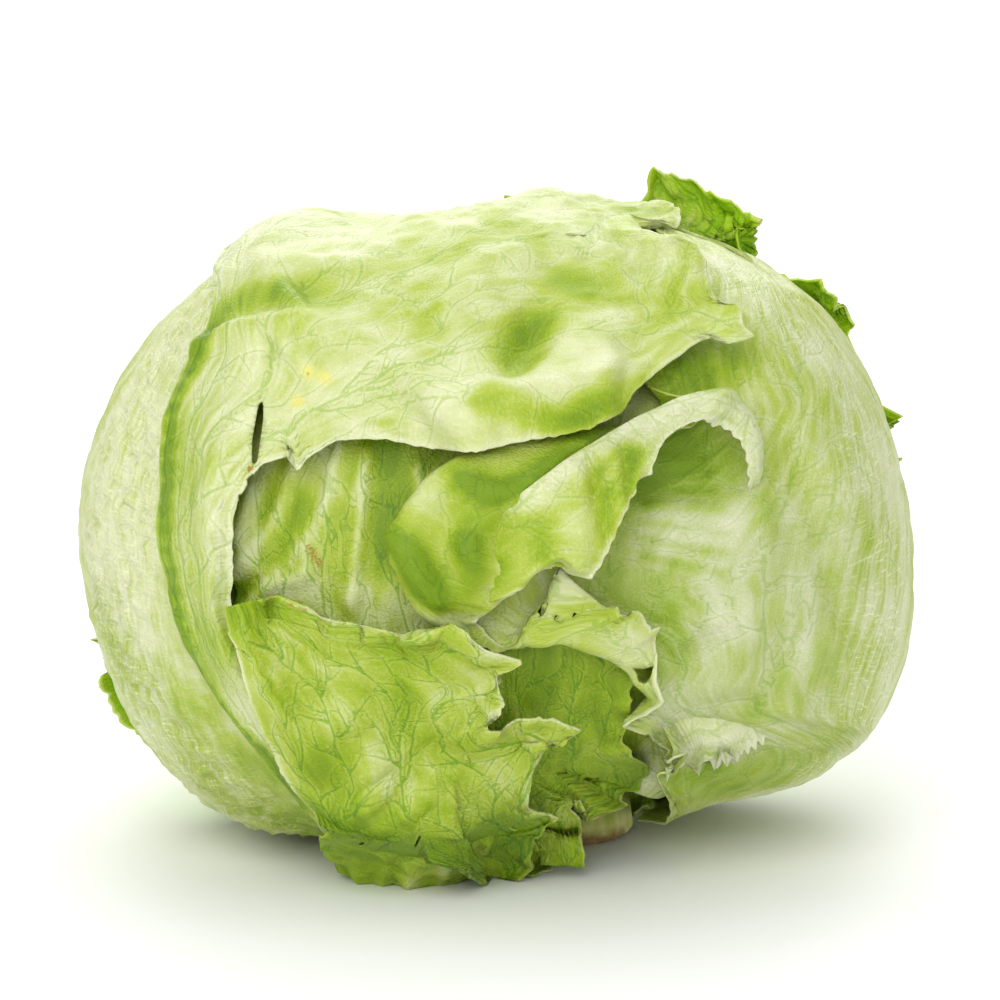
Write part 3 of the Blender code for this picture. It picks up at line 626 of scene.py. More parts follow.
def spikes(along, spacing, height, seed):
    """Pointed teeth along a margin, each leaning forward, of uneven width and height."""
    draw = random.Random(seed)
    total = np.zeros(len(along))
    place = 0.0
    while place < along[-1]:
        width = spacing * draw.uniform(0.5, 1.5)
        tip = place + width * draw.uniform(0.5, 0.85)
        tall = height * draw.uniform(0.15, 1.0)
        rising = (along - place) / (tip - place)
        falling = (place + width - along) / (place + width - tip)
        total = np.maximum(total, tall * np.clip(np.minimum(rising, falling), 0, 1) ** TOOTH_POINT)
        place += width
    return total


def noise_at(places, size, seed):
    """Smooth noise of this size in millimetres at each place, about -0.5 to 0.5."""
    flat = places.reshape(-1, places.shape[-1]) / size
    third = flat[:, 2] if flat.shape[1] == 3 else np.zeros(len(flat))
    shift = seed * NOISE_STEP
    places_in_noise = zip(flat[:, 0] + shift, flat[:, 1] - shift, third)
    values = [noise.noise(Vector(place)) for place in places_in_noise]
    return np.array(values).reshape(places.shape[:-1])


def evened(vectors, half):
    """Unit vectors along a line, each averaged with this many neighbours on either side."""
    padded = np.pad(vectors, ((half, half), (0, 0)), mode="edge")
    sums = np.cumsum(np.concatenate([np.zeros((1, vectors.shape[1])), padded]), axis=0)
    return unit(sums[2 * half + 1 :] - sums[: -2 * half - 1])


def frill(sheet):
    """Fine teeth and ruffles along the free margins. It also notes the distance to the nearest margin."""
    sheet.edge = np.full(sheet.points.shape[:2], FAR)
    look = sheet.leaf["margin"]
    push = np.zeros_like(sheet.points)
    normals = sheet.normals
    for number, (index, outward) in enumerate(sheet.margins):
        outward = evened(outward, EVENED)
        distance, nearest = nearest_on(sheet.flat[index], sheet.flat)
        sheet.edge = np.minimum(sheet.edge, distance)
        along = travelled(sheet.flat[index])
        fade = np.clip(along / MARGIN_START, 0, 1)
        seed = sheet.leaf["seed"] * 10 + number
        tall = spikes(along, look["spacing"], look["tooth"], seed)
        small = spikes(along, look["spacing"] * SMALL_SPACING, look["tooth"] * SMALL_TOOTH, seed + 5)
        tall = (np.maximum(tall, small) - look["tooth"] * TOOTH_SINK) * fade
        line = np.stack([along, np.full(len(along), seed * 3.3)], axis=-1)
        ruffle = noise_at(line, look["ruffle_size"], seed)
        ruffle = ruffle + 0.3 * noise_at(line, look["ruffle_size"] / 2.3, seed)
        curl = look["curl"] * np.clip(tall / look["tooth"], 0, 1)
        rise = (look["ruffle"] * (ruffle + RUFFLE_LIFT) + curl) * fade
        near = np.exp(-((distance / TOOTH_REACH) ** 2))
        wide = np.exp(-((distance / look["ruffle_depth"]) ** 2))
        push += outward[nearest] * (tall[nearest] * near)[..., None]
        lifting = unit(evened(normals[index], EVENED))
        push += lifting[nearest] * (np.maximum(rise, -LEAST_ROOM)[nearest] * wide)[..., None]
    sheet.points = sheet.points + push


def turned(heading, angle):
    """A flat direction turned by an angle."""
    return (heading[0] * math.cos(angle) - heading[1] * math.sin(angle),
            heading[0] * math.sin(angle) + heading[1] * math.cos(angle))


class VeinNet:
    """Veins that grow over a leaf's flat map: each starts on another, and ends at one or at the margin."""

    def __init__(self, sheet, seed):
        self.draw = random.Random(seed)
        self.sheet = sheet
        thin = sheet.flat[::2, ::2]
        fibre = unit(np.gradient(sheet.flat, axis=0)[::2, ::2] + 1e-9)
        self.fibre = fibre.reshape(-1, 2)
        self.ground = kdtree.KDTree(len(self.fibre))
        for number, point in enumerate(thin.reshape(-1, 2)):
            self.ground.insert((point[0], point[1], 0.0), number)
        self.ground.balance()
        self.cells = {}
        self.lines = []

    def cell(self, x, y):
        return int(math.floor(x / VEIN_CELL)), int(math.floor(y / VEIN_CELL))

    def meets(self, x, y, own, parent, length):
        """Another vein's point nearby, or None. A new vein first gets clear of the one it grows from."""
        column, row = self.cell(x, y)
        for i in (-1, 0, 1):
            for j in (-1, 0, 1):
                for px, py, line in self.cells.get((column + i, row + j), ()):
                    if line == own or (line == parent and length < VEIN_FREE):
                        continue
                    if (px - x) ** 2 + (py - y) ** 2 < VEIN_JOIN**2:
                        return px, py
        return None

    def keep(self, line, width):
        """Adds a finished vein, which thins towards its end."""
        if len(line) < VEIN_SHORTEST:
            return
        number = len(self.lines)
        self.lines.append((np.array(line), width))
        for x, y in line:
            self.cells.setdefault(self.cell(x, y), []).append((x, y, number))

    def grow(self, start, heading, longest, width, parent, bend):
        """One vein, step by step: it wanders a little and leans towards the leaf's fibres."""
        x, y = start
        line = [(x, y)]
        turn = 0.0
        for step in range(int(longest / VEIN_STEP)):
            turn = 0.8 * turn + self.draw.gauss(0, VEIN_WANDER)
            spot = self.ground.find((x, y, 0.0))
            if spot[2] > VEIN_OUTSIDE:
                break
            fibre = self.fibre[spot[1]]
            lean = bend * (heading[0] * fibre[1] - heading[1] * fibre[0])
            heading = turned(heading, turn + lean)
            x += heading[0] * VEIN_STEP
            y += heading[1] * VEIN_STEP
            met = self.meets(x, y, len(self.lines), parent, (step + 1) * VEIN_STEP)
            if met:
                line.append(met)
                break
            line.append((x, y))
        self.keep(line, width)

    def branch(self, parents, spacing, angle, longest, width, bend):
        """Side veins at uneven steps along each parent, on alternate sides."""
        for number in parents:
            line = self.lines[number][0]
            place = spacing * self.draw.uniform(0.3, 1.0)
            side = self.draw.choice((-1, 1))
            length = (len(line) - 1) * VEIN_STEP
            while place < length - spacing * 0.3:
                k = min(int(place / VEIN_STEP), len(line) - 2)
                heading = line[k + 1] - line[k]
                heading = heading / max(np.linalg.norm(heading), 1e-6)
                turn = side * math.radians(angle * self.draw.uniform(0.75, 1.25))
                self.grow(tuple(line[k]), turned(heading, turn), longest, width, number, bend)
                side = -side
                place += spacing * self.draw.uniform(0.35, 0.75)

    def main(self, share, start, end):
        """A main vein along a grid column of the leaf, in even steps, with a slight wander."""
        rows, columns = self.sheet.flat.shape[:2]
        line = self.sheet.flat[int(start * rows) : int(end * rows), int(share * (columns - 1))]
        count = int(travelled(line)[-1] / VEIN_STEP)
        places = np.interp(np.arange(count) * VEIN_STEP, travelled(line), np.arange(len(line)))
        even = curve_at(line, places)
        sway = np.array([[noise.noise(Vector((k * VEIN_STEP / SWAY_SIZE, axis * 9.0, len(self.lines) * 5.0)))
                          for axis in (0, 1)] for k in range(count)]).reshape(-1, 2)
        self.keep([tuple(p) for p in even + MAIN_SWAY * sway], MAIN_WIDTH)


def grown_veins(sheet):
    """The whole net of one leaf: main veins, side veins, and the small ones that close the net's meshes."""
    leaf = sheet.leaf
    net = VeinNet(sheet, leaf["seed"])
    for main in leaf["mains"]:
        net.main(*main)
    first = len(net.lines)
    spacing = leaf.get("vein_spacing", VEIN_SPACING)
    net.branch(range(first), spacing, leaf.get("vein_angle", 42), 90.0, SIDE_WIDTH, 0.03)
    second = len(net.lines)
    net.branch(range(second), spacing * 0.8, 55, 40.0, FINE_WIDTH, 0.0)
    third = len(net.lines)
    net.branch(range(first, third), spacing * 0.9, 68, 12.0, FINEST_WIDTH, 0.0)
    return net


def vein_field(sheet, net):
    """At each point: the signed distance to the nearest vein, that distance, and the vein's width."""
    points, tangents, widths = [], [], []
    for line, width in net.lines:
        share = np.linspace(0, 1, len(line))
        points.append(line)
        tangents.append(unit(np.gradient(line, axis=0) + 1e-9))
        widths.append(width * (1 - VEIN_TAPER * share))
    points, tangents, widths = np.concatenate(points), np.concatenate(tangents), np.concatenate(widths)
    distance, nearest = nearest_on(points, sheet.flat)
    offset = sheet.flat - points[nearest]
    signed = tangents[nearest][..., 0] * offset[..., 1] - tangents[nearest][..., 1] * offset[..., 0]
    return np.stack([signed, distance, widths[nearest]], axis=-1)


def crumple(sheet):
    """Folds, puckers between the veins, and fine unevenness, each kept clear of the leaf inside."""
    leaf = sheet.leaf
    directions = unit(sheet.points - HEAD_MIDDLE)
    folds = relief(directions, leaf.get("folds", ()))
    folds[:, sheet.blade :] = relief(directions, leaf.get("hem_folds", ()))[:, sheet.blade :]
    puckers = noise_at(sheet.flat, PUCKER_SIZE, leaf["seed"]) + 0.6 * noise_at(sheet.flat, SMALL_PUCKER, 3)
    swells = leaf["pucker"] * puckers
    swells = swells + leaf.get("fine_wrinkle", 0.0) * noise_at(sheet.flat, WRINKLE_SIZE, leaf["seed"] + 4)
    quilt = QUILT * (1 - np.exp(-((sheet.vein[..., 1] / QUILT_REACH) ** 2)))
    cross = leaf.get("cross_wrinkle", 0.0)
    wrinkle = cross * noise_at(sheet.strand / CROSS_STRETCH, CROSS_SIZE, leaf["seed"])
    calm = np.clip(sheet.strand[..., 1] / MARGIN_START, 0, 1)
    # How deep each fold's hollow is, for the painted shade that greenness puts there.
    sheet.dent = np.clip(-folds / DEEP_FOLD, 0, 1)
    height = (folds + swells + quilt + wrinkle * leaf_mask(sheet)) * calm
    height = np.maximum(height, -np.maximum(sheet.room, LEAST_ROOM))
    sheet.points = sheet.points + sheet.normals * height[..., None]
    sheet.points[..., 2] = np.maximum(sheet.points[..., 2], leaf["sole"])


def leaf_mask(sheet):
    """Where a leaf is its thick pale rib: 1 on the rib, 0 on the thin blade."""
    rib = sheet.leaf.get("rib")
    if not rib:
        return np.zeros(sheet.points.shape[:2])
    line, width = rib
    directions = unit(sheet.points - HEAD_MIDDLE)
    return np.clip(relief(directions, [(line, width, 1.0)]) * RIB_GAIN, 0, 1)


def closed_faces(kept):
    """The faces of a thin closed sheet over its kept grid cells: outer, inner, and the walls between."""
    rows, columns = kept.shape[0] + 1, kept.shape[1] + 1
    number = np.arange(rows * columns).reshape(rows, columns)
    outer = np.stack([number[:-1, :-1], number[1:, :-1], number[1:, 1:], number[:-1, 1:]], axis=-1)[kept]
    inner = outer[:, ::-1] + rows * columns
    starts, ends = outer.ravel(), np.roll(outer, -1, axis=1).ravel()
    open_edge = ~np.isin(ends * rows * columns + starts, starts * rows * columns + ends)
    starts, ends = starts[open_edge], ends[open_edge]
    walls = np.stack([ends, starts, starts + rows * columns, ends + rows * columns], axis=-1)
    return np.concatenate([outer, inner, walls])


def inside_outline(places, outline):
    """Which places lie inside a closed outline, all in units of the front view."""
    x, y = places[..., 0], places[..., 1]
    crossed = np.zeros(x.shape, bool)
    for (ax, ay), (bx, by) in zip(outline, outline[1:] + outline[:1]):
        if ay != by:
            crossed ^= ((ay > y) != (by > y)) & (x < ax + (y - ay) * (bx - ax) / (by - ay))
    return crossed


def kept_cells(sheet):
    """The sheet's cells that aren't in one of its holes. The points on a hole's rim move onto its outline."""
    middles = (sheet.points[:-1, :-1] + sheet.points[1:, 1:]) / 2
    kept = np.ones(middles.shape[:2], bool)
    for outline, start, end in sheet.leaf.get("holes", ()):
        columns = np.arange(kept.shape[1]) / kept.shape[1]
        hole = inside_outline(in_view(middles), outline) & (columns >= start) & (columns <= end)
        wide = np.pad(hole, 1)
        corners = [wide[:-1, :-1], wide[:-1, 1:], wide[1:, :-1], wide[1:, 1:]]
        rim = np.any(corners, axis=0) & ~np.all(corners, axis=0)
        fine = curve_at(outline + outline[:1], np.linspace(0, len(outline), 20 * len(outline)))
        for row, column in zip(*np.nonzero(rim)):
            point = sheet.points[row, column]
            near = fine[np.argmin(np.linalg.norm(fine - in_view(point), axis=1))]
            sheet.points[row, column] = point + moved_in_view(point, near)
        kept &= ~hole
    return kept


def sheet_object(sheet, material):
    """The leaf as a closed mesh of the right thickness, with the values that its material reads."""
    leaf = sheet.leaf
    thick = EDGE_THICKNESS + (LEAF_THICKNESS - EDGE_THICKNESS) * np.clip(sheet.edge / THINNED, 0, 1)
    faces = closed_faces(kept_cells(sheet))
    inner = sheet.points - sheet.normals * thick[..., None]
    inner[..., 2] = np.maximum(inner[..., 2], leaf["sole"] + SOLE_THICKNESS)
    points = np.concatenate([sheet.points.reshape(-1, 3), inner.reshape(-1, 3)])
    corner = sheet.points[1, 0] - sheet.points[0, 0]
    if np.cross(corner, sheet.points[0, 1] - sheet.points[0, 0]) @ sheet.normals[0, 0] < 0:
        faces = faces[:, ::-1]
    used, faces = np.unique(faces, return_inverse=True)
    obj = mesh_object(leaf["name"] + "_fine", points[used] + FRAME_SHIFT, faces.reshape(-1, 4), material)
    for name, values in sheet_values(sheet).items():
        both = np.concatenate([values.reshape(-1, 3), values.reshape(-1, 3)])[used]
        attribute = obj.data.attributes.new(name, "FLOAT_VECTOR", "POINT")
        attribute.data.foreach_set("vector", both.astype(np.float32).ravel())
    return obj


def mesh_object(name, points, faces, material):
    """A smooth mesh object from points in millimetres."""
    mesh = bpy.data.meshes.new(name)
    mesh.from_pydata((points * MM).tolist(), [], faces.tolist())
    mesh.materials.append(material)
    mesh.shade_smooth()
    obj = bpy.data.objects.new(name, mesh)
    bpy.context.scene.collection.objects.link(obj)
    return obj


def sheet_values(sheet):
    """What a leaf's material reads: places on the flat leaf and along its fibres, veins, tints and spots."""
    leaf = sheet.leaf
    nothing = np.zeros(sheet.points.shape[:2])
    shift = leaf["seed"] * NOISE_STEP
    flat, strand = (np.dstack([places + shift, nothing]) for places in (sheet.flat, sheet.strand))
    directions = unit(sheet.points - HEAD_MIDDLE)
    grey = np.clip(relief(directions, leaf.get("greyer", ())), 0, 1)
    grey[:, sheet.blade :] = 0
    tint = np.dstack([greenness(sheet), leaf_mask(sheet), grey])
    spots = [relief(directions, leaf.get(kind, ())) for kind in ("rust", "yellow")]
    blemish = np.dstack([*spots, nothing])
    return {"flat_place": flat, "strand_place": strand, "vein": sheet.vein, "tint": tint, "blemish": blemish}


def greenness(sheet):
    """How green a leaf is: pale at the foot and on ribs, green in the blade and margins, with painted shade
    in hollows and painted highlight on ridges.
    """
    leaf = sheet.leaf
    base, middle, tip, margin = leaf["green"]
    share = sheet.strand[..., 1] / sheet.strand[..., 1].max()
    green = np.interp(share, [0.0, 0.5, 1.0], [base, middle, tip])
    green = green + margin * np.exp(-((sheet.edge / GREEN_REACH) ** 2))
    directions = unit(sheet.points - HEAD_MIDDLE)
    # The leaf's listed lines: its own tones, and painted shade and painted highlight.
    green = green + relief(directions, leaf.get("greener", ()))
    green = green - EDGE_LIGHT * np.exp(-((sheet.edge / EDGE_WIDTH) ** 2))
    return green + HOLLOW_SHADE_GREEN * sheet.dent - RIB_PALE * leaf_mask(sheet)


# The leaf colours, from the palest rib to the darkest blade.
LEAF_RAMP = [
    (0.00, (0.64, 0.67, 0.40)),
    (0.25, (0.53, 0.59, 0.25)),
    (0.50, (0.39, 0.48, 0.055)),
    (0.75, (0.27, 0.39, 0.006)),
    (1.00, (0.17, 0.285, 0.002)),
]
# BRIGHT_RAMP, for the outer leaves at the back: their greener tone, made brighter as painted light where they
# face away from the lamps.
BRIGHT_RAMP = [
    (0.00, (0.63, 0.67, 0.36)),
    (0.25, (0.52, 0.60, 0.19)),
    (0.50, (0.43, 0.60, 0.06)),
    (0.75, (0.33, 0.56, 0.010)),
    (1.00, (0.20, 0.40, 0.004)),
]
GREY_RAMP = [
    (0.00, (0.60, 0.62, 0.42)),
    (0.25, (0.49, 0.54, 0.28)),
    (0.50, (0.37, 0.46, 0.10)),
    (0.75, (0.25, 0.37, 0.020)),
    (1.00, (0.17, 0.285, 0.006)),
]

VEIN_SHADE = (0.47, 0.68, 0.10, 1.0)
# Painted highlight colour for the sheen speckles, also used for the pale stitches on ribs.
SHEEN_AND_STITCH_COLOUR = (0.88, 0.93, 0.68, 1.0)
YELLOW_SPOT = (0.74, 0.66, 0.10, 1.0)
RUST_SPOT = (0.33, 0.20, 0.03, 1.0)

# How often the leaf colours vary, per millimetre: over the flat leaf, and across and along its fibres.
BROAD_SCALE = 0.055
GRAIN_SCALE = 1.7
STREAK_SCALE = (0.30, 0.09, 1.0)
FIBRE_SCALE = (1.3, 0.10, 1.0)
STITCH_SCALE = (0.35, 1.9, 1.0)


class Nodes:
    """Short calls for building one material's nodes."""

    def __init__(self, name):
        self.material = bpy.data.materials.new(name)
        self.material.use_nodes = True
        self.tree = self.material.node_tree

    def add(self, kind, inputs=(), **settings):
        """A node of this kind with its settings, and with each input joined to a socket or set to a value."""
        node = self.tree.nodes.new(kind)
        for name, value in settings.items():
            setattr(node, name, value)
        self.put(node, inputs)
        return node

    def put(self, node, inputs):
        for name, value in dict(inputs).items():
            if isinstance(value, bpy.types.NodeSocket):
                self.tree.links.new(value, node.inputs[name])
            else:
                node.inputs[name].default_value = value

    def shade(self, inputs):
        """The finished material, with these inputs of its shader."""
        self.put(self.tree.nodes["Principled BSDF"], inputs)
        return self.material

    def attribute(self, name):
        """A vector attribute of the mesh."""
        return self.add("ShaderNodeAttribute", attribute_name=name).outputs["Vector"]

    def parts(self, vector):
        """The three parts of a vector."""
        return self.add("ShaderNodeSeparateXYZ", {"Vector": vector}).outputs[:]

    def maths(self, operation, first, second=0.0, third=0.0, clamp=False):
        inputs = {0: first, 1: second, 2: third}
        return self.add("ShaderNodeMath", inputs, operation=operation, use_clamp=clamp).outputs[0]

    def varied(self, value, noise, amount):
        """A value that the noise raises and lowers by up to half this amount."""
        return self.maths("MULTIPLY_ADD", self.maths("SUBTRACT", noise, 0.5), amount, value)

    def scaled(self, vector, scale):
        """A vector with each part multiplied."""
        return self.add("ShaderNodeVectorMath", {0: vector, 1: scale}, operation="MULTIPLY").outputs[0]

    def noise(self, vector, scale, detail=1.0, roughness=0.5, kind="2D"):
        """Smooth noise, 0 to 1. The scale is one number, or one for each part of the vector."""
        if isinstance(scale, tuple):
            vector, scale = self.scaled(vector, scale), 1.0
        inputs = {"Vector": vector, "Scale": scale, "Detail": detail, "Roughness": roughness}
        return self.add("ShaderNodeTexNoise", inputs, noise_dimensions=kind).outputs["Fac"]

    def step(self, value, low, high):
        """0 below low, 1 above high, smooth between. With low above high it falls instead."""
        node = self.add("ShaderNodeMapRange", {"Value": value, "From Min": low, "From Max": high},
                        interpolation_type="SMOOTHSTEP")
        return node.outputs["Result"]

    def ramp(self, value, stops):
        node = self.add("ShaderNodeValToRGB", {"Fac": value})
        elements = node.color_ramp.elements
        for place, colour in stops[2:]:
            elements.new(place)
        for element, (place, colour) in zip(elements, stops):
            element.position = place
            element.color = (*colour, 1.0)
        return node.outputs["Color"]

    def mix(self, factor, first, second, blend="MIX"):
        node = self.add("ShaderNodeMix", data_type="RGBA", blend_type=blend)
        self.put(node, {"Factor": factor, "A": first, "B": second})
        return node.outputs["Result"]

    def bump(self, height, distance, strength):
        inputs = {"Height": height, "Distance": distance, "Strength": strength}
        return self.add("ShaderNodeBump", inputs).outputs["Normal"]


def leaf_tone(nodes, green, distance, fibre, fibrous):
    """How green the leaf is: mottled, streaked along its fibres, and paler between the veins."""
    tone = nodes.varied(green, nodes.noise(nodes.attribute("flat_place"), BROAD_SCALE), 0.60)
    tone = nodes.varied(tone, nodes.noise(nodes.attribute("strand_place"), STREAK_SCALE), 0.55)
    tone = nodes.varied(tone, fibre, fibrous)
    return nodes.maths("MULTIPLY_ADD", nodes.step(distance, 1.3, 0.3), -0.10, tone)


def vein_line(nodes, signed, distance, width):
    """Where the veins run: a line as wide as each vein, and fainter for the small ones."""
    across = nodes.maths("DIVIDE", nodes.maths("ABSOLUTE", signed), width)
    line = nodes.maths("MULTIPLY", nodes.step(across, 0.85, 0.3), nodes.step(distance, 1.7, 1.0))
    strong = nodes.step(width, 0.12, 0.5)
    return nodes.maths("MULTIPLY", line, nodes.maths("MULTIPLY_ADD", strong, 0.5, 0.5))


def sheen_and_stitches(nodes, tone, grain, rib):
    """How much painted highlight shows: in grains of painted highlight on pale skin, and in short pale
    stitches across a rib.
    """
    stitch = nodes.step(nodes.noise(nodes.attribute("strand_place"), STITCH_SCALE), 0.60, 0.72)
    most = nodes.maths("SUBTRACT", 0.16, nodes.maths("MULTIPLY", tone, 0.13))
    light = nodes.maths("MULTIPLY", nodes.step(grain, 0.50, 0.75), most, clamp=True)
    return nodes.maths("MULTIPLY_ADD", nodes.maths("MULTIPLY", stitch, rib), 0.3, light)


def leaf_material(name, ramp=LEAF_RAMP, vein_depth=0.5, gloss=0.42):
    """Leaf skin: mottled green over a pale ground, dark veins, painted highlight speckles, and a glossy,
    finely blistered face.
    """
    nodes = Nodes(name)
    signed, distance, width = nodes.parts(nodes.attribute("vein"))
    green, rib, grey = nodes.parts(nodes.attribute("tint"))
    rust, yellow, _ = nodes.parts(nodes.attribute("blemish"))
    fibre = nodes.noise(nodes.attribute("strand_place"), FIBRE_SCALE)
    fibrous = nodes.maths("MULTIPLY_ADD", rib, 0.5, 0.15)
    grain = nodes.noise(nodes.attribute("flat_place"), GRAIN_SCALE, roughness=0.6)
    tone = leaf_tone(nodes, green, distance, fibre, fibrous)
    line = vein_line(nodes, signed, distance, width)

    colour = nodes.mix(grey, nodes.ramp(tone, ramp), nodes.ramp(tone, GREY_RAMP))
    dark = nodes.mix(1.0, colour, VEIN_SHADE, "MULTIPLY")
    colour = nodes.mix(nodes.maths("MULTIPLY", line, vein_depth), colour, dark)
    # Painted highlight speckles, and pale stitches on the ribs.
    colour = nodes.mix(sheen_and_stitches(nodes, tone, grain, rib), colour, SHEEN_AND_STITCH_COLOUR)
    colour = nodes.mix(nodes.maths("MULTIPLY", yellow, 0.7), colour, YELLOW_SPOT)
    colour = nodes.mix(nodes.step(nodes.varied(rust, grain, 1.2), 0.3, 0.8), colour, RUST_SPOT)

    height = nodes.maths("MULTIPLY", grain, 0.8)
    height = nodes.maths("MULTIPLY_ADD", line, -0.2, height)
    height = nodes.maths("MULTIPLY_ADD", fibre, fibrous, height)
    return nodes.shade({
        "Base Color": colour, "Normal": nodes.bump(height, 0.0006, 0.55),
        "Roughness": nodes.maths("MULTIPLY_ADD", grain, 0.22, gloss - 0.1), "Specular IOR Level": 0.30,
        "Subsurface Weight": 0.22, "Subsurface Radius": (0.9, 1.0, 0.25), "Subsurface Scale": 0.0022,
    })


def stem_material():
    """Cut plant stem: a fibrous, green-cream skin that browns unevenly towards the cut."""
    nodes = Nodes("stem")
    place = nodes.add("ShaderNodeTexCoord").outputs["Object"]
    fibre = nodes.noise(place, (420.0, 420.0, 60.0), 3.0, kind="3D")
    blotch = nodes.noise(place, 160.0, 3.0, kind="3D")
    skin = nodes.ramp(fibre, [(0.25, (0.66, 0.70, 0.13)), (0.75, (0.92, 0.92, 0.38))])
    green = nodes.step(blotch, 0.48, 0.66)
    skin = nodes.mix(nodes.maths("MULTIPLY", green, 0.6), skin, (0.42, 0.56, 0.03, 1.0))
    low = nodes.step(nodes.parts(place)[2], 0.0040, 0.0012)
    worn = nodes.maths("MULTIPLY", low, nodes.step(blotch, 0.30, 0.60))
    skin = nodes.mix(worn, skin, (0.30, 0.16, 0.05, 1.0))
    return nodes.shade({
        "Base Color": skin, "Normal": nodes.bump(fibre, 0.0008, 0.6), "Roughness": 0.6,
        "Subsurface Weight": 0.2, "Subsurface Scale": 0.002,
    })


def heart_material():
    """The folded inner leaves, of which little shows."""
    nodes = Nodes("heart")
    place = nodes.scaled(nodes.add("ShaderNodeTexCoord").outputs["Object"], (1000.0, 1000.0, 1000.0))
    broad = nodes.noise(place, 0.05, 3.0, kind="3D")
    grain = nodes.noise(place, 0.9, 3.0, kind="3D")
    colour = nodes.ramp(broad, [(0.3, (0.36, 0.52, 0.10)), (0.7, (0.62, 0.72, 0.32))])
    return nodes.shade({"Base Color": colour, "Normal": nodes.bump(grain, 0.0005, 0.5), "Roughness": 0.45})


def stem_object(material):
    """The stem as a finely ringed cylinder whose cut is tilted, with an uneven face and edge."""
    angle = np.linspace(0, 2 * math.pi, STEM_SIDES, endpoint=False)
    profile = [(0.96 * STEM_RADIUS * k / 9, 0.0) for k in range(10)]
    profile += [(STEM_RADIUS - 0.15, 0.35), (STEM_RADIUS, 0.9)]
    profile += [(STEM_RADIUS * (1 - 0.1 * z), STEM_HEIGHT * z) for z in np.linspace(0.08, 1.0, STEM_RINGS)]
    profile += [(STEM_RADIUS * 0.88 * k, STEM_HEIGHT) for k in (0.75, 0.4, 0.0)]
    radius, height = np.array(profile).T[:, :, None]
    points = np.stack(np.broadcast_arrays(radius * np.cos(angle), radius * np.sin(angle), height), axis=-1)
    wear = noise_at(points / np.array([1.0, 1.0, 3.0]), 4.0, 7)
    out = unit(points * np.array([1.0, 1.0, 0.0]) + 1e-9)
    points = points + out * (0.5 * wear - 0.25)[..., None] * (points[..., 2:] > 0.5)
    rise = math.tan(STEM_TILT) * (points @ STEM_UPHILL + STEM_RADIUS)
    cut = np.clip(1 - points[..., 2] / STEM_HEIGHT, 0, 1)
    points[..., 2] += rise * cut + 0.15 * np.clip(noise_at(points, 3.0, 2), 0, 1) * (cut > 0.99)
    number = np.arange(len(profile) * STEM_SIDES).reshape(len(profile), STEM_SIDES)
    after = np.roll(number, -1, axis=1)
    faces = np.stack([number[:-1], after[:-1], after[1:], number[1:]], axis=-1).reshape(-1, 4)
    return mesh_object("stem_fine", points.reshape(-1, 3) + STEM_FOOT + FRAME_SHIFT, faces, material)


def front(*pairs):
    """Directions of several points of the front view."""
    return [seen(x, y) for x, y in pairs]


def deeper(*pairs):
    """Directions in which a surface as deep as leaf_inner's shows at these points of the front view."""
    middle = in_view(HEAD_MIDDLE)
    return [seen(*(middle + (np.array(pair) - middle) * INNER_SCALE)) for pair in pairs]


def strip(*ribs):
    """Ribs given as x, y of their left and right end in the front view, or as ready directions."""
    return [rib if len(rib) == 2 else (seen(*rib[:2]), seen(*rib[2:])) for rib in ribs]


def bands(*ribs):
    """Ribs given as longitude and latitude of their left end, middle and right end, or ready directions."""
    return [rib if len(rib) == 3 else tuple(around(*rib[k : k + 2]) for k in (0, 2, 4)) for rib in ribs]


def marks(*rows):
    """Lines for relief, as rows of half width, height and x, y pairs of the front view. A row that starts
    with a ready line stays as it is."""
    return [row if isinstance(row[0], list) else (front(*zip(row[2::2], row[3::2])), *row[:2])
            for row in rows]


def whole(*shares):
    """Main veins that run from end to end of a leaf, at these shares of its width."""
    return [(share, 0.0, 1.0) for share in shares]


SOFT_EDGE = dict(lift=0.6, wave=1.4, wave_length=28.0, lift_depth=10.0, tooth=0.5)
FRILLY_EDGE = dict(lift=0.6, wave=2.2, wave_length=20.0, lift_depth=8.0, tooth=1.8)

# The groove between the left-hand rib and the crown's edge, and the forms of the cupped leaf on the right.
CROWN_SIDE = front(
    (322, 835), (280, 772), (228, 722), (190, 655), (168, 560), (165, 480), (176, 400), (212, 337),
)
GROOVE = front((330, 845), (270, 775), (215, 715), (178, 650), (158, 560), (155, 480), (168, 400), (205, 335))
BOWL = front((685, 490), (700, 560), (690, 640), (730, 705))
ROLL_RIDGE = front((512, 507), (543, 482), (589, 454), (640, 426), (685, 406))
ROLL_VALLEY = front((466, 484), (500, 497), (525, 489), (560, 464), (604, 438))
ROLL_POCKET = front((405, 543), (418, 555), (427, 572), (437, 596))
ROLL_BEADS = [(398, 553), (397, 572), (402, 588), (412, 602), (428, 608), (446, 614), (460, 622)]
BOWL_RIDGE = front((712, 402), (745, 428), (766, 472), (780, 520), (788, 560))
RIM_HOLLOW = front((770, 400), (805, 480), (828, 560), (832, 640), (812, 700))
ARCH_CREST = front(
    (640, 432), (668, 416), (698, 408), (722, 413), (738, 426), (749, 446), (756, 468), (764, 488),
)

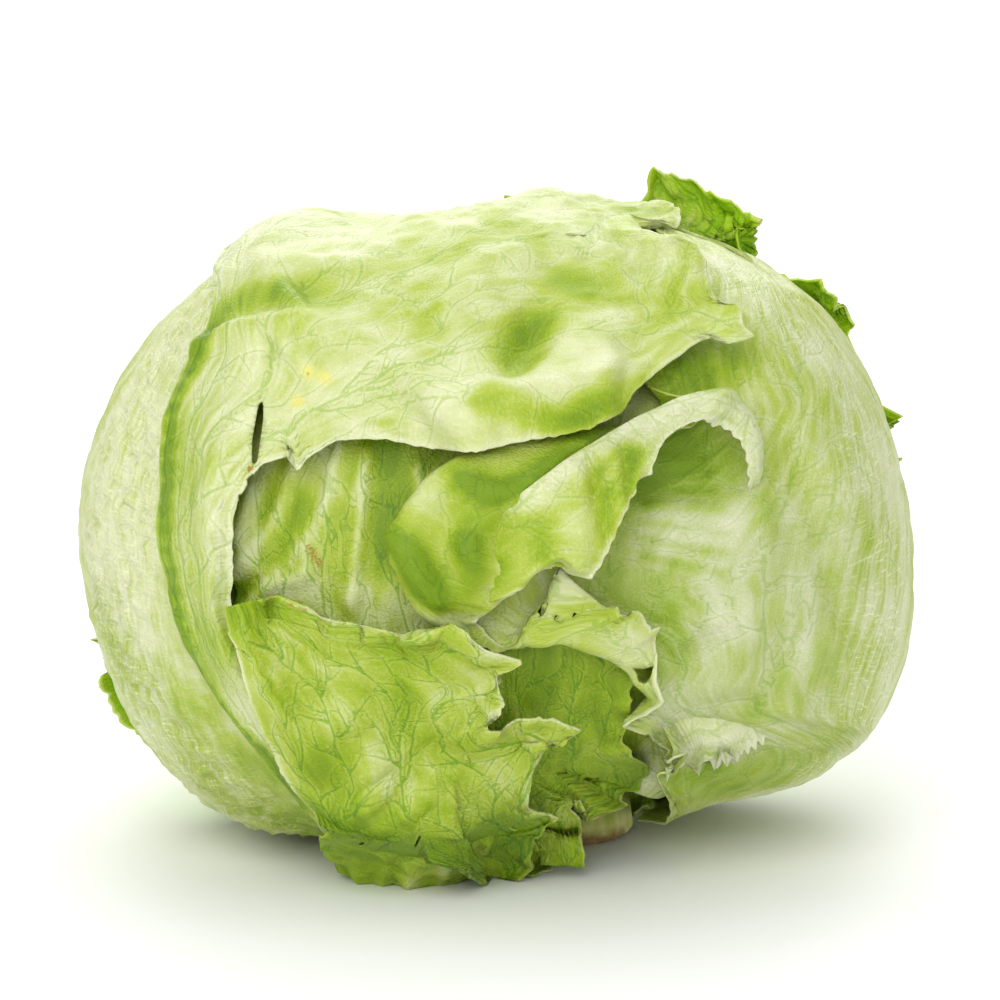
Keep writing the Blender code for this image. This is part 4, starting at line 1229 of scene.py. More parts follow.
# Torn margins as they look from the front, each from the foot towards the tip.
BACK_LEFT_MARGIN = [
    (150, 742), (138, 728), (129, 724), (124, 714), (118, 706), (113, 694), (103, 689), (98, 680),
    (101, 674), (108, 673), (112, 668), (108, 655), (100, 640),
]
UNDER_MARGIN = [
    (560, 870), (570, 873), (584, 859), (579, 856), (579, 847), (582, 830), (577, 812), (568, 806),
    (576, 795), (587, 818), (602, 807), (614, 804), (629, 800), (618, 796), (621, 789), (637, 786),
    (650, 765), (644, 759), (633, 753), (622, 738), (622, 728), (629, 722), (629, 711), (629, 684),
    (640, 660), (630, 630), (585, 590),
]
RIGHT_MARGIN = [
    (666, 782), (674, 761), (686, 745), (678, 747), (663, 759), (668, 750), (657, 742), (646, 732),
    (639, 733), (629, 729), (623, 727), (637, 719), (646, 718), (660, 705), (667, 706), (661, 690),
    (656, 678), (657, 665), (656, 641), (663, 628), (652, 631), (652, 627), (645, 619), (643, 609),
    (632, 609), (629, 614), (621, 611), (617, 602), (610, 608), (600, 599), (588, 588), (578, 580),
    (566, 566), (558, 557), (555, 572), (550, 590), (546, 614), (532, 619), (521, 630), (509, 653),
]
ROLL_MARGIN = [
    (509, 653), (490, 640), (474, 623), (487, 613), (505, 600), (520, 588), (535, 573), (556, 566),
    (576, 572), (583, 571), (592, 553), (604, 536), (612, 520), (616, 500), (632, 484), (642, 468),
    (651, 455), (656, 447), (671, 435), (684, 428), (700, 426),
]
FRONT_MARGIN = [
    (535, 858), (547, 848), (543, 841), (545, 833), (544, 826), (550, 828), (556, 816), (565, 811),
    (552, 808), (539, 807), (530, 801), (531, 789), (533, 772), (537, 761), (545, 749), (556, 742),
    (563, 744), (568, 736), (582, 726), (560, 719), (550, 713), (545, 717), (539, 713), (535, 716),
    (519, 719), (510, 726), (501, 734), (489, 735), (486, 726), (491, 715), (499, 710), (506, 707),
    (503, 698), (497, 684), (497, 675), (505, 672), (516, 666), (524, 661), (505, 655), (482, 646),
    (464, 629), (450, 622), (430, 632), (406, 634), (378, 629), (349, 621), (322, 615), (307, 608),
    (288, 602), (270, 597), (250, 604),
]
FRONT_LEFT = [
    (500, 884), (493, 882), (482, 879), (459, 864), (430, 857), (395, 853), (362, 850), (343, 844),
    (324, 827), (308, 808), (294, 788), (280, 764), (267, 738), (254, 708), (242, 672), (232, 630),
    (230, 606),
]
CROWN_MARGIN = [
    (231, 606), (231, 596), (233, 579), (232, 552), (233, 530), (236, 512), (244, 495), (253, 482),
    (263, 465), (276, 461), (288, 457), (297, 472), (303, 461), (314, 451), (337, 441), (349, 440),
    (387, 440), (406, 444), (444, 450), (464, 452), (483, 454), (520, 445), (556, 438), (575, 434),
    (595, 427), (610, 417), (620, 407), (630, 397), (651, 382), (681, 358), (698, 344), (712, 340),
    (730, 345), (753, 341),
]
LACE_MARGIN = [
    (667, 782), (672, 770), (680, 768), (686, 763), (694, 768), (699, 776), (703, 762), (710, 760),
    (714, 770), (720, 757), (727, 767), (732, 756), (737, 761), (741, 753),
]
INNER_PLEATS = [
    ([(345, 445), (328, 500), (305, 545), (262, 590)], 1.6), ([(300, 462), (280, 520), (246, 575)], 1.2),
    ([(368, 455), (362, 520), (352, 600)], 1.3), ([(320, 480), (318, 540), (335, 605)], -1.2),
    ([(384, 500), (378, 560), (372, 605)], -1.2), ([(418, 470), (424, 530), (420, 590)], 1.3),
    ([(262, 490), (250, 540)], 1.2), ([(272, 500), (262, 560)], -1.0),
]
INNER_LIP = [(230, 606), (249, 604), (264, 594), (280, 582), (311, 572)]
LOW_MARGIN = [
    (497, 884), (488, 879), (482, 884), (462, 882), (440, 884), (425, 878), (415, 880), (400, 874),
    (381, 877), (370, 871), (355, 868), (343, 853),
]
LOW_PLEATS = [(352, 1.5), (376, 2.4), (393, 1.4), (419, 2.2), (447, 1.6), (463, 2.6), (484, 1.4)]
CROWN_TIP = [
    (630, 216), (647, 229), (661, 236), (677, 242), (692, 247), (704, 262), (708, 284), (714, 302),
    (728, 309), (738, 312), (741, 321), (740, 331), (753, 341),
]
BACK_TIP = [
    (560, 225), (600, 228), (628, 220), (632, 208), (648, 193), (648, 175), (651, 169), (658, 178),
    (664, 182), (666, 178), (675, 184), (688, 186), (697, 194), (708, 197), (726, 208), (730, 215),
    (743, 224), (757, 230),
]
BACK_MARGIN = [
    (885, 480), (892, 468), (902, 467), (890, 462), (878, 445), (880, 428), (890, 428), (902, 431),
    (898, 415), (886, 408), (876, 412), (862, 385), (850, 355), (840, 335), (848, 331), (859, 324),
    (848, 316), (840, 306), (833, 312), (835, 303), (830, 292), (824, 293), (821, 282), (809, 282),
    (805, 274), (790, 280), (770, 278), (750, 268), (738, 249), (731, 235), (750, 233), (757, 230),
]
CROWN_TEAR = [(260, 397), (263, 404), (263, 420), (260, 442), (257, 461), (252, 464), (252, 442), (256, 416)]
CROWN_DENT = [(246, 478), (252, 474), (255, 481), (252, 488), (247, 485)]
CROWN_SPOT = [(238, 494), (241, 495), (240, 499), (237, 498)]
FLAP_HOLE = [(632, 666), (643, 667), (654, 665), (652, 674), (648, 681), (643, 683), (638, 680), (637, 673)]

SOFT_MARGIN = dict(spacing=5.0, tooth=0.5, ruffle=0.8, ruffle_size=12.0, ruffle_depth=7.0, curl=0.2)
TORN_MARGIN = dict(spacing=3.5, tooth=0.6, ruffle=1.4, ruffle_size=13.0, ruffle_depth=8.0, curl=0.3)
FRILLY_MARGIN = dict(spacing=4.0, tooth=1.4, ruffle=2.4, ruffle_size=10.0, ruffle_depth=8.0, curl=0.8)

# Each leaf. ribs: from the foot to the tip, each across the leaf, from margin to margin. inset: how deep it
# lies in the head. floor and sole: its height off the ground at the stem and further out. rows, columns: its
# coarse grid, and steps: the fine ones in each of its cells. shaping: large ridges and hollows, and folds:
# small ones. green: at the foot, the middle and the tip, and added at the margin. mains: main veins, each
# with its share of the width, its start and its end. drawn: a margin, its first and last rib, and its outline
# in the front view.
LEAF_INNER = dict(
    name="leaf_inner", seed=1, inset=9.5, floor=17.0, sole=10.0, rows=18, columns=8,
    shaping=marks((7.0, 5.5, 206, 500, 204, 560, 208, 620)),
    ribs=strip(
        (root(-60, 17), root(40, 17)), (330, 820, 530, 800), (250, 730, 560, 710), (215, 620, 580, 610),
        (205, 520, 615, 540), (212, 430, 660, 480), (240, 360, 730, 430), (290, 300, 780, 370),
        (370, 262, 765, 310), (460, 240, 720, 270),
    ),
    fine_wrinkle=0.4, steps=(7, 12), green=(0.4, 0.42, 0.56, 0.05), margin=SOFT_MARGIN, pucker=0.9,
    mains=[(0.12, 0.0, 0.7), (0.3, 0.0, 0.8), (0.5, 0.0, 0.9), (0.7, 0.0, 0.85), (0.88, 0.1, 0.7)],
    folds=[
        *[(deeper(*line), 1.7, height) for line, height in INNER_PLEATS], (deeper(*INNER_LIP), 1.5, 2.6),
        (deeper((232, 596), (262, 586)), 2.6, -2.5), (deeper((300, 500), (285, 560)), 3.5, -1.6),
        (deeper((395, 480), (405, 550)), 4.5, -1.8),
    ],
    rust=[(deeper((312, 548), (322, 566)), 1.2, 0.7), (deeper((296, 604), (306, 606)), 1.0, 0.7)],
    # Painted shade in the hollows and under the crown's edge, and painted highlight on the lip and the raised
    # pleats; the rest is the leaf's own tone.
    greener=[
        (deeper((234, 598), (264, 588)), 2.4, 0.8), (deeper((380, 447), (440, 460)), 5.0, 0.35),
        (deeper((300, 500), (285, 560)), 3.5, 0.3), (deeper((395, 480), (400, 560)), 7.0, 0.3),
        (deeper((350, 480), (345, 570)), 3.0, 0.2), (deeper((262, 600), (305, 588)), 3.0, -0.35),
        *[(deeper(*line), 1.2, -0.3) for line, height in INNER_PLEATS if height > 0],
    ],
    material=dict(vein_depth=0.9),
)

LEAF_UNDER = dict(
    name="leaf_under", seed=5, inset=7.0, floor=14.0, sole=3.0, rows=26, columns=8,
    ribs=strip(
        (root(-35, 14), root(5, 14)), (488, 856, 556, 864), (478, 836, 579, 849), (470, 812, 584, 826),
        (466, 790, 612, 808), (464, 755, 645, 771), (462, 725, 640, 735), (462, 695, 650, 702),
        (464, 660, 655, 665), (470, 625, 625, 630), (482, 595, 580, 590),
    ),
    free={"right": FRILLY_EDGE}, fine_wrinkle=0.25,
    drawn=[("right", 2.0, 10.0, UNDER_MARGIN)],
    steps=(6, 9), green=(0.60, 0.80, 0.92, 0.05), margin=FRILLY_MARGIN, pucker=0.6, vein_spacing=8.0,
    vein_angle=30,
    mains=whole(0.2, 0.4, 0.6, 0.8),
    material=dict(vein_depth=1.0, gloss=0.5),
)

# A second leaf end that shows behind leaf_under's right margin.
UNDER_SECOND = dict(
    name="leaf_under", seed=6, inset=8.4, floor=5.0, sole=4.0, rows=14, columns=8,
    shaping=marks((7.0, 6.5, 646, 818, 670, 803, 692, 790)),
    ribs=strip(
        (606, 822, 668, 806), (606, 806, 690, 796), (604, 785, 700, 780), (604, 760, 702, 760),
        (606, 730, 700, 735), (608, 695, 685, 700), (610, 655, 670, 660),
    ),
    fine_wrinkle=0.4, steps=(6, 7), green=(0.35, 0.75, 0.85, 0.0), margin=SOFT_MARGIN, pucker=0.7,
    vein_spacing=8.0,
    mains=whole(0.2, 0.5, 0.8),
    rib=(front((625, 812), (660, 796), (690, 775)), 5.0), cross_wrinkle=0.3, material=dict(vein_depth=0.7),
)

# The pleat over the cupped leaf's roll: from its ridge down to the free edge, and on round the arch over the
# hollow, where it narrows and runs out.
PLEAT = dict(
    name="leaf_right", seed=21, inset=2.0, gap=-0.3, layers=4, floor=10.0, sole=3.0, rows=64, columns=9,
    ribs=strip(
        (478, 530, 474, 606), (496, 514, 498, 596), (516, 500, 522, 582), (540, 481, 551, 563),
        (564, 463, 580, 572), (588, 448, 604, 533), (614, 432, 618, 503), (640, 418, 638, 478),
        (666, 405, 654, 446), (692, 397, 678, 430), (714, 396, 698, 427), (732, 402, 714, 428),
        (747, 415, 728, 437), (757, 434, 740, 453), (763, 456, 749, 471), (768, 480, 758, 490),
        (773, 508, 770, 512),
    ),
    shaping=marks(
        (ARCH_CREST, 3.4, (5.0, 5.4, 5.4, 5.0, 4.4, 3.6, 2.0, 0.0)),
        (5.0, (-2.0, -7.0, -8.0), 767, 476, 771, 492, 776, 515),
    ),
    sunk=marks(
        (7.0, 4.5, 474, 520, 470, 612), (5.0, -1.5, 550, 508, 558, 538),
        (4.5, (1.5, 4.0, 5.0), 764, 472, 769, 486, 775, 515),
    ),
    free={"right": SOFT_EDGE}, fine_wrinkle=0.15, steps=(4, 8), green=(0.46, 0.36, 0.14, 0.0), pucker=0.4,
    vein_angle=78, vein_spacing=4.5, margin=dict(SOFT_MARGIN, tooth=0.12, ruffle=0.3),
    mains=whole(0.06),
    folds=marks(
        (1.8, 0.9, 522, 505, 520, 575), (1.8, -0.3, 545, 490, 548, 555), (2.0, 1.0, 570, 480, 572, 560),
        (1.8, -1.0, 590, 470, 596, 530), (1.8, 1.1, 606, 462, 610, 505), (2.2, -1.2, 624, 452, 620, 490),
    ),
    # Painted shade in the folds' valleys, and painted highlight along the roll's ridge.
    greener=marks(
        (5.0, 0.3, 500, 516, 484, 590), (2.4, 0.35, 534, 530, 536, 552), (2.6, 0.45, 622, 460, 616, 496),
        (2.2, 0.25, 592, 500, 598, 530), (1.8, -0.3, 512, 507, 543, 482, 589, 454, 640, 426, 691, 404),
    ),
    greyer=[(ARCH_CREST, 7.0, (0.8, 0.8, 0.8, 0.8, 0.8, 0.8, 0.7, 0.5))],
    material=dict(vein_depth=0.45),
)

# The torn, whitish margin that lies over the foot of leaf_right.
FOOT_LACE = dict(
    name="leaf_right", seed=23, gap=-0.4, layers=4, inset=14.0, floor=10.0, sole=3.0, rows=24, columns=6,
    ribs=strip(
        (676, 736, 667, 781), (686, 732, 682, 768), (700, 730, 702, 762), (718, 729, 722, 766),
        (736, 728, 740, 758), (760, 728, 758, 752), (790, 730, 786, 744),
    ),
    sunk=marks((4.5, 3.5, 670, 730, 700, 722, 800, 722), (5.0, 3.5, 785, 730, 790, 750)),
    free={"right": FRILLY_EDGE}, fine_wrinkle=0.3,
    drawn=[("right", 0.0, 4.0, LACE_MARGIN)],
    steps=(6, 8), green=(0.2, 0.15, 0.3, 0.0), margin=dict(TORN_MARGIN, tooth=1.0, ruffle=0.5), pucker=0.4,
    vein_spacing=5.0,
    mains=whole(0.3, 0.7),
    greyer=marks((8.0, 0.8, 664, 770, 700, 762, 738, 754)),
    material=dict(vein_depth=0.4),
)

# leaf_right's ribs. Each row: longitude and latitude of the back margin, and of the middle or its x and y;
# then x and y of the front margin's crest and of its free edge. ROLLED adds the radius of the roll, how far
# it is turned outward (1 is right over, 0 is flat), and the size of its teeth.
RIGHT_FOOT = [
    (142, -54, 98, -50, 650, 777, 656, 783), (146, -48, 95, -44, 667, 763, 672, 770),
    (149, -42, 92, -38, 684, 754, 689, 760), (150, -38, 90, -33, 689, 748, 697, 747),
]
ROLLED = [
    (151, -34, 850, 724, 679, 742, 683, 735, 0.4, 0.0, 0.0),
    (151, -31, 858, 706, 654, 738, 659, 731, 0.4, 0.0, 0.3),
    (152, -28, 863, 690, 630, 728, 638, 722, 0.6, 0.3, 0.6),
    (152, -24, 870, 672, 650, 706, 660, 700, 0.8, 0.6, 0.6),
    (153, -20, 877, 653, 642, 686, 662, 664, 1.4, 1.0, 1.2),
    (153, -15, 883, 634, 620, 665, 656, 628, 1.7, 1.0, 1.6),
    (153, -10, 887, 618, 590, 651, 640, 610, 1.8, 1.0, 1.6),
    (154, -6, 890, 604, 562, 641, 612, 604, 1.8, 1.0, 1.0),
    (154, -2, 892, 586, 538, 645, 578, 588, 1.8, 1.0, 0.8),
    (154, 1, 894, 568, 520, 643, 551, 576, 1.6, 1.0, 0.4),
    (154, 4, 895, 556, 505, 641, 528, 615, 1.3, 1.0, 0.0),
    (154, 7, 896, 545, 487, 639, 499, 629, 1.2, 1.0, 0.0),
    (154, 10, 897, 534, 454, 633, 474, 620, 1.8, 1.0, 0.0),
    (154, 14, 898, 521, 412, 607, 480, 610, 2.4, 1.0, 0.0),
    (154, 18, 898, 508, 395, 562, 503, 592, 3.0, 1.0, 0.0),
    (153, 23, 896, 493, 408, 515, 530, 566, 3.2, 1.0, 0.0),
    (153, 28, 893, 477, 438, 480, 556, 553, 3.4, 1.0, 0.0),
    (152, 32, 888, 463, 484, 455, 582, 562, 3.4, 1.0, 0.0),
    (151, 37, 880, 438, 540, 443, 600, 535, 3.4, 1.0, 0.0),
    (150, 42, 870, 410, 590, 434, 616, 500, 3.0, 1.0, 0.0),
    (148, 47, 857, 382, 640, 418, 650, 457, 2.6, 1.0, 0.0),
    (146, 51, 842, 352, 688, 402, 691, 426, 2.0, 1.0, 0.0),
    (146, 56, 826, 328, 668, 396, 674, 405, 0.8, 0.5, 0.0),
    (147, 61, 808, 306, 648, 380, 656, 384, 0.4, 0.0, 0.0),
    (149, 67, 786, 285, 640, 345, 648, 349, 0.4, 0.0, 0.0),
    (153, 73, 757, 263, 642, 305, 650, 309, 0.4, 0.0, 0.0),
    (158, 79, 722, 243, 650, 268, 658, 271, 0.4, 0.0, 0.0),
]
FLAT_EDGE = (0.4, 0.0, 0.0)
RIGHT_RIBS = [
    (root(150, 10), root(95, 10), root(50, 10), root(62, 10), *FLAT_EDGE),
    *[(around(*row[:2]), around(*row[2:4]), seen(*row[4:6]), seen(*row[6:]), *FLAT_EDGE)
      for row in RIGHT_FOOT],
    *[(around(*row[:2]), seen(*row[2:4]), seen(*row[4:6]), seen(*row[6:8]), *row[8:])
      for row in ROLLED],
    (around(175, 82), around(150, 71), seen(662, 236), seen(669, 240), *FLAT_EDGE),
]

RIGHT_RIB = [around(75, -45), *front((860, 740), (895, 640), (895, 520), (868, 410), (815, 320), (760, 275))]
LEAF_RIGHT = dict(
    name="leaf_right", seed=2, inset=0.0, floor=10.0, sole=3.0, rows=56, columns=9,
    ribs=[rib[:3] for rib in RIGHT_RIBS], hem=[rib[2:] for rib in RIGHT_RIBS], roll_steps=12, flap_steps=20,
    shaping=marks(
        (BOWL, 17.0, -9.0), (BOWL_RIDGE, 6.0, 2.5), (RIM_HOLLOW, 9.0, -2.5),
        (14.0, -4.0, 450, 620, 520, 620, 600, 690), (14.0, -4.5, 665, 270, 662, 310, 662, 360),
    ),
    drawn=[("right", 1.6, 15.4, RIGHT_MARGIN), ("right", 15.5, 26.0, ROLL_MARGIN)],
    holes=[(FLAP_HOLE, 0.5, 1.0)],
    steps=(5, 12), green=(0.5, 0.42, 0.42, 0.05), margin=TORN_MARGIN,
    pucker=0.7, vein_angle=62, vein_spacing=11.0,
    folds=marks(
        (9.0, -2.5, 700, 450, 745, 470), (5.0, (2.0, 0.8), 760, 490, 776, 560),
        (4.5, (-3.0, -3.0, -2.0), 655, 478, 690, 462, 712, 478),
        *[(front((665, 470 + 16 * k), (735, 468 + 20 * k)), 1.6, 0.7) for k in range(7)],
        (8.0, -2.5, 620, 540, 660, 600, 690, 660), (7.0, 1.5, 760, 520, 765, 600, 750, 670),
        (4.0, -1.2, 790, 420, 830, 520, 850, 620),
    ),
    hem_folds=marks(
        (ROLL_POCKET, 3.0, (-2.0, -3.0, -3.0, -2.0)), *[(front(bead), 1.6, 1.0) for bead in ROLL_BEADS],
        (ROLL_RIDGE, 2.6, (0.6, 2.0, 2.4, 2.2, 1.6)), (ROLL_VALLEY, 2.4, (-1.0, -2.4, -2.6, -2.2, -1.2)),
        (2.4, 1.4, 452, 500, 446, 575), (3.0, -2.0, 468, 540, 480, 572), (2.2, 1.4, 504, 520, 492, 580),
        (2.0, -1.4, 532, 515, 520, 560), (2.4, -1.8, 556, 512, 556, 550), (2.2, 1.6, 578, 500, 572, 545),
        (3.0, -2.0, 620, 460, 616, 495), (1.6, 1.2, 603, 462, 608, 500),
    ),
    mains=whole(0.3, 0.5, 0.62, 0.72, 0.82, 0.92),
    rib=(RIGHT_RIB, 12.0), cross_wrinkle=0.15,
    # Painted shade under the arch, in the roll's valleys, folds and pocket, under the crown's edge and along
    # the band below the cupped leaf; painted highlight on the roll's ridge; the rest is the leaf's own tone.
    greener=marks(
        (5.5, (0.1, 0.45, 0.8, 0.6, 0.2), 722, 462, 692, 448, 660, 452, 640, 480, 616, 530),
        (ROLL_VALLEY, 2.6, 0.55), (ROLL_RIDGE, 2.2, -0.2), (3.5, 0.5, 470, 546, 478, 566),
        (3.0, 0.45, 557, 515, 556, 550), (2.5, 0.35, 536, 538, 538, 552), (3.0, 0.35, 620, 464, 617, 492),
        (14.0, 0.15, 690, 610, 690, 640), (13.0, 0.24, 790, 300, 860, 420, 880, 560, 860, 700),
        *[(front((655, 468 + 18 * k), (730, 466 + 22 * k)), 1.1, 0.22) for k in range(6)],
        (8.0, (0.5, 0.5, 0.3), 650, 385, 690, 368, 735, 345), (9.0, 0.12, 425, 560, 470, 510, 540, 490),
        (7.0, 0.12, 560, 620, 640, 660), (ROLL_POCKET, 3.0, 0.7), (5.0, -0.2, 640, 640, 650, 670),
        (16.0, -0.25, 700, 560, 710, 640, 700, 710), (8.0, 0.3, 690, 778, 780, 782, 850, 740),
    ),
    # Greyer in the bowl, partly its own paler tone and partly painted shade for its hollow, and greyer on the
    # rim as its own tone.
    greyer=marks(
        (26.0, 1.0, 660, 560, 700, 620, 760, 700), (14.0, 0.6, 730, 480, 800, 640),
        (12.0, 0.6, 700, 740, 780, 740), (12.0, 0.5, 770, 310, 850, 430, 870, 560),
    ),
    material=dict(vein_depth=0.5),
)

LEFT_RIB = [around(-100, -60), *front((215, 805), (135, 700), (105, 560), (120, 450), (175, 340), (235, 270))]
LEAF_LEFT = dict(
    name="leaf_left", seed=3, inset=0.0, floor=8.0, sole=0.3, rows=18, columns=10,
    ribs=[
        (root(-140, 8), root(-95, 8), root(-50, 8)), (around(-148, -60), around(-98, -60), seen(410, 848)),
        (around(-153, -42), around(-98, -42), seen(340, 815)),
        (around(-155, -22), around(-97, -22), seen(268, 735)),
        (around(-153, -2), around(-97, -4), seen(230, 640)),
        (around(-150, 18), around(-97, 12), seen(215, 550)),
        (around(-147, 36), around(-97, 27), seen(218, 460)),
        (around(-143, 50), around(-101, 41), seen(238, 375)),
        (around(-140, 60), around(-110, 54), seen(280, 300)),
    ],
    shaping=[(GROOVE, 9.0, -6.5), ([around(-125, 55)], 16.0, -3.0)],
    steps=(10, 13), green=(0.8, 0.45, 0.40, 0.1), margin=SOFT_MARGIN, pucker=0.6, cross_wrinkle=1.5,
    mains=whole(0.2, 0.4, 0.5, 0.6, 0.8), rib=(LEFT_RIB, 13.0),
    # Painted shade: greener and greyer over the lower left.
    greener=marks((11.0, 0.3, 110, 650, 160, 720, 240, 810, 330, 852)),
    greyer=marks((16.0, 0.7, 110, 640, 160, 710, 240, 800)),
    material=dict(vein_depth=0.15),
)

LEAF_CROWN = dict(
    name="leaf_crown", seed=4, inset=1.0, gap=1.5, floor=5.5, sole=2.0, rows=40, columns=11,
    ribs=strip(
        (root(-80, 5.5), root(-50, 5.5)), (355, 840, 415, 830), (318, 818, 372, 800), (272, 770, 320, 745),
        (222, 708, 268, 680), (184, 640, 235, 606), (163, 570, 232, 560), (156, 500, 238, 515),
        (160, 430, 243, 480), (182, 366, 272, 462), (215, 305, 320, 448),
        (around(-108, 46), seen(395, 443)), (around(-135, 48), seen(470, 454)),
        (around(-160, 48), seen(535, 443)), (around(178, 50), seen(600, 428)),
        (around(162, 51), seen(655, 392)), (around(150, 55), seen(700, 354)),
        (around(134, 59), seen(728, 339)),
    ),
    free={"right": SOFT_EDGE, "tip": FRILLY_EDGE},
    shaping=marks((GROOVE, 7.0, -4.0), (9.0, -2.5, 505, 315, 545, 345), (9.0, 2.0, 350, 300, 430, 330)),
    fine_wrinkle=0.3,
    drawn=[("right", 5.0, 17.0, CROWN_MARGIN), ("tip", 0.55, 1.0, CROWN_TIP)],
    holes=[(CROWN_TEAR, 0.0, 1.0), (CROWN_DENT, 0.0, 1.0), (CROWN_SPOT, 0.0, 1.0)],
    steps=(7, 15), green=(0.3, 0.12, 0.36, 0.12), margin=TORN_MARGIN, pucker=1.1,
    yellow=[(front(spot), 1.3, 1.0) for spot in ((309, 373), (324, 377), (297, 401))],
    rust=marks((0.9, 0.8, 256, 470), (0.5, 0.7, 309, 374)),
    mains=[(0.12, 0.1, 1.0), (0.38, 0.05, 0.95), (0.6, 0.3, 1.0), (0.8, 0.45, 0.95)],
    folds=marks(
        (3.2, 2.4, 202, 342, 266, 328, 323, 334, 379, 356, 435, 401, 485, 443),
        (5.0, -3.2, 221, 317, 258, 300, 300, 298), (4.0, 1.4, 303, 264, 351, 267, 393, 317, 432, 356),
        (6.0, -1.8, 365, 285, 420, 330), (4.2, -4.0, 538, 306, 528, 340, 508, 378),
        (7.0, -1.8, 560, 262, 585, 285), (7.0, 2.0, 500, 400, 530, 425, 580, 418, 630, 390),
        (4.0, -1.5, 638, 351), (5.0, -1.5, 606, 386), (7.0, 1.6, 450, 300),
    ),
    greyer=marks((9.0, 0.5, 190, 430, 190, 560, 218, 665)),
    # Painted shade along the groove at the crown's left edge and in the dents and hollows, and painted
    # highlight on the bulge; the rest is the leaf's own tone.
    greener=marks(
        (CROWN_SIDE, 2.6, 0.95), (6.0, 0.3, 198, 440, 198, 560, 225, 665), (7.0, 0.3, 221, 317, 300, 298),
        (5.5, 0.28, 538, 310, 510, 372), (9.0, 0.2, 365, 285, 470, 350), (6.0, 0.2, 560, 262, 585, 285),
        (12.0, 0.12, 420, 230, 520, 228), (3.0, 0.35, 489, 420, 546, 438, 603, 418),
        (5.0, 0.3, 560, 430, 640, 395), (12.0, -0.25, 480, 395, 570, 400),
    ),
    material=dict(vein_depth=0.6),
)

LEAF_LOW = dict(
    name="leaf_low", seed=12, inset=4.0, floor=3.0, sole=0.0, rows=22, columns=5,
    ribs=strip(
        (root(-50, 3), root(-20, 3)), (500, 884, 552, 876), (486, 886, 530, 845), (460, 886, 480, 825),
        (428, 884, 424, 812), (388, 876, 378, 804), (358, 864, 350, 800), (341, 850, 332, 808),
    ),
    free={"left": dict(FRILLY_EDGE, wave=1.5), "right": SOFT_EDGE}, fine_wrinkle=1.4,
    drawn=[("left", 1.0, 7.0, LOW_MARGIN)],
    steps=(9, 14), green=(0.7, 0.85, 0.9, 0.0), margin=FRILLY_MARGIN, pucker=1.2, vein_spacing=7.0,
    mains=whole(0.3, 0.7),
    folds=[(front((x, 845), (x - 6, 880)), width, 1.8) for x, width in LOW_PLEATS],
    # Painted highlight: paler along the raised pleats.
    greener=[(front((x, 850), (x - 6, 880)), 0.8 * width, -0.3) for x, width in LOW_PLEATS],
    material=dict(vein_depth=0.8),
)

LEAF_FRONT = dict(
    name="leaf_front", seed=8, inset=0.0, floor=1.0, sole=0.3, rows=44, columns=10,
    ribs=strip(
        (root(-45, 1), root(-8, 1)), (525, 862, 545, 848), (490, 866, 556, 816), (440, 862, 541, 797),
        (394, 852, 547, 768), (360, 844, 568, 734), (338, 841, 542, 714), (322, 825, 502, 728),
        (308, 808, 492, 716), (294, 788, 512, 700), (280, 764, 500, 682), (267, 738, 518, 662),
        (254, 708, 470, 632), (242, 672, 400, 629), (231, 628, 320, 614), (227, 611, 278, 601),
    ),
    free={"left": SOFT_EDGE, "right": FRILLY_EDGE},
    shaping=marks((9.0, -1.8, 350, 650, 420, 700), (7.0, -1.5, 430, 780, 500, 770)),
    fine_wrinkle=0.2,
    drawn=[("right", 1.0, 15.0, FRONT_MARGIN), ("left", 1.0, 15.0, FRONT_LEFT)],
    steps=(5, 14), green=(0.72, 0.55, 0.45, 0.05), margin=TORN_MARGIN, pucker=0.9, vein_angle=38,
    vein_spacing=9.0,
    mains=[(0.15, 0.05, 1.0), (0.32, 0.0, 1.0), (0.5, 0.0, 1.0), (0.68, 0.0, 0.95), (0.86, 0.1, 0.9)],
    folds=marks(
        (5.0, 1.6, 330, 640, 352, 720, 372, 775), (6.0, 1.5, 430, 640, 440, 720),
        (6.0, -1.6, 395, 660, 405, 740), (5.0, -1.4, 300, 660, 330, 760), (6.0, -1.2, 470, 700, 450, 750),
    ),
    rust=marks((0.7, 0.6, 292, 604, 306, 608), (0.8, 0.8, 436, 640)),
    # Painted shade in one fold's hollow, and darker green along the bottom; the rest is the leaf's own tone.
    greener=marks(
        (3.0, 0.3, 250, 606, 290, 595), (6.0, 0.25, 400, 700, 420, 715), (5.0, 0.3, 350, 770, 365, 790),
        (9.0, 0.75, 360, 815, 440, 835, 500, 845), (6.0, 0.1, 400, 650, 420, 640),
    ),
    material=dict(vein_depth=1.0),
)

LEAF_BACK_LEFT = dict(
    name="leaf_back_left", seed=9, inset=0.0, floor=3.0, sole=0.0, rows=24, columns=10,
    ribs=bands(
        (root(-90, 3), root(-130, 3), root(178, 3)), (-100, -60, -140, -60, 178, -56),
        (-103, -40, -140, -42, 178, -40), (-104, -22, -142, -22, 176, -22), (-110, -2, -143, -2, 174, -4),
        (-114, 18, -145, 16, 174, 13), (-122, 35, -150, 33, 175, 29), (-138, 47, -160, 45, 178, 42),
    ),
    free={"left": FRILLY_EDGE, "tip": FRILLY_EDGE},
    shaping=[
        ([root(-130, 3), around(-140, -60), around(-142, -22), around(-145, 16)], 6.0, 2.0),
        ([around(-102, -27), around(-103, -20)], 8.0, 4.0),
    ],
    drawn=[("left", 2.0, 4.5, BACK_LEFT_MARGIN)],
    fine_wrinkle=0.8, steps=(6, 7), green=(0.15, 0.28, 0.40, 0.5), margin=FRILLY_MARGIN, pucker=0.9,
    mains=whole(0.2, 0.5, 0.8),
    material=dict(vein_depth=0.6, ramp=BRIGHT_RAMP),
)

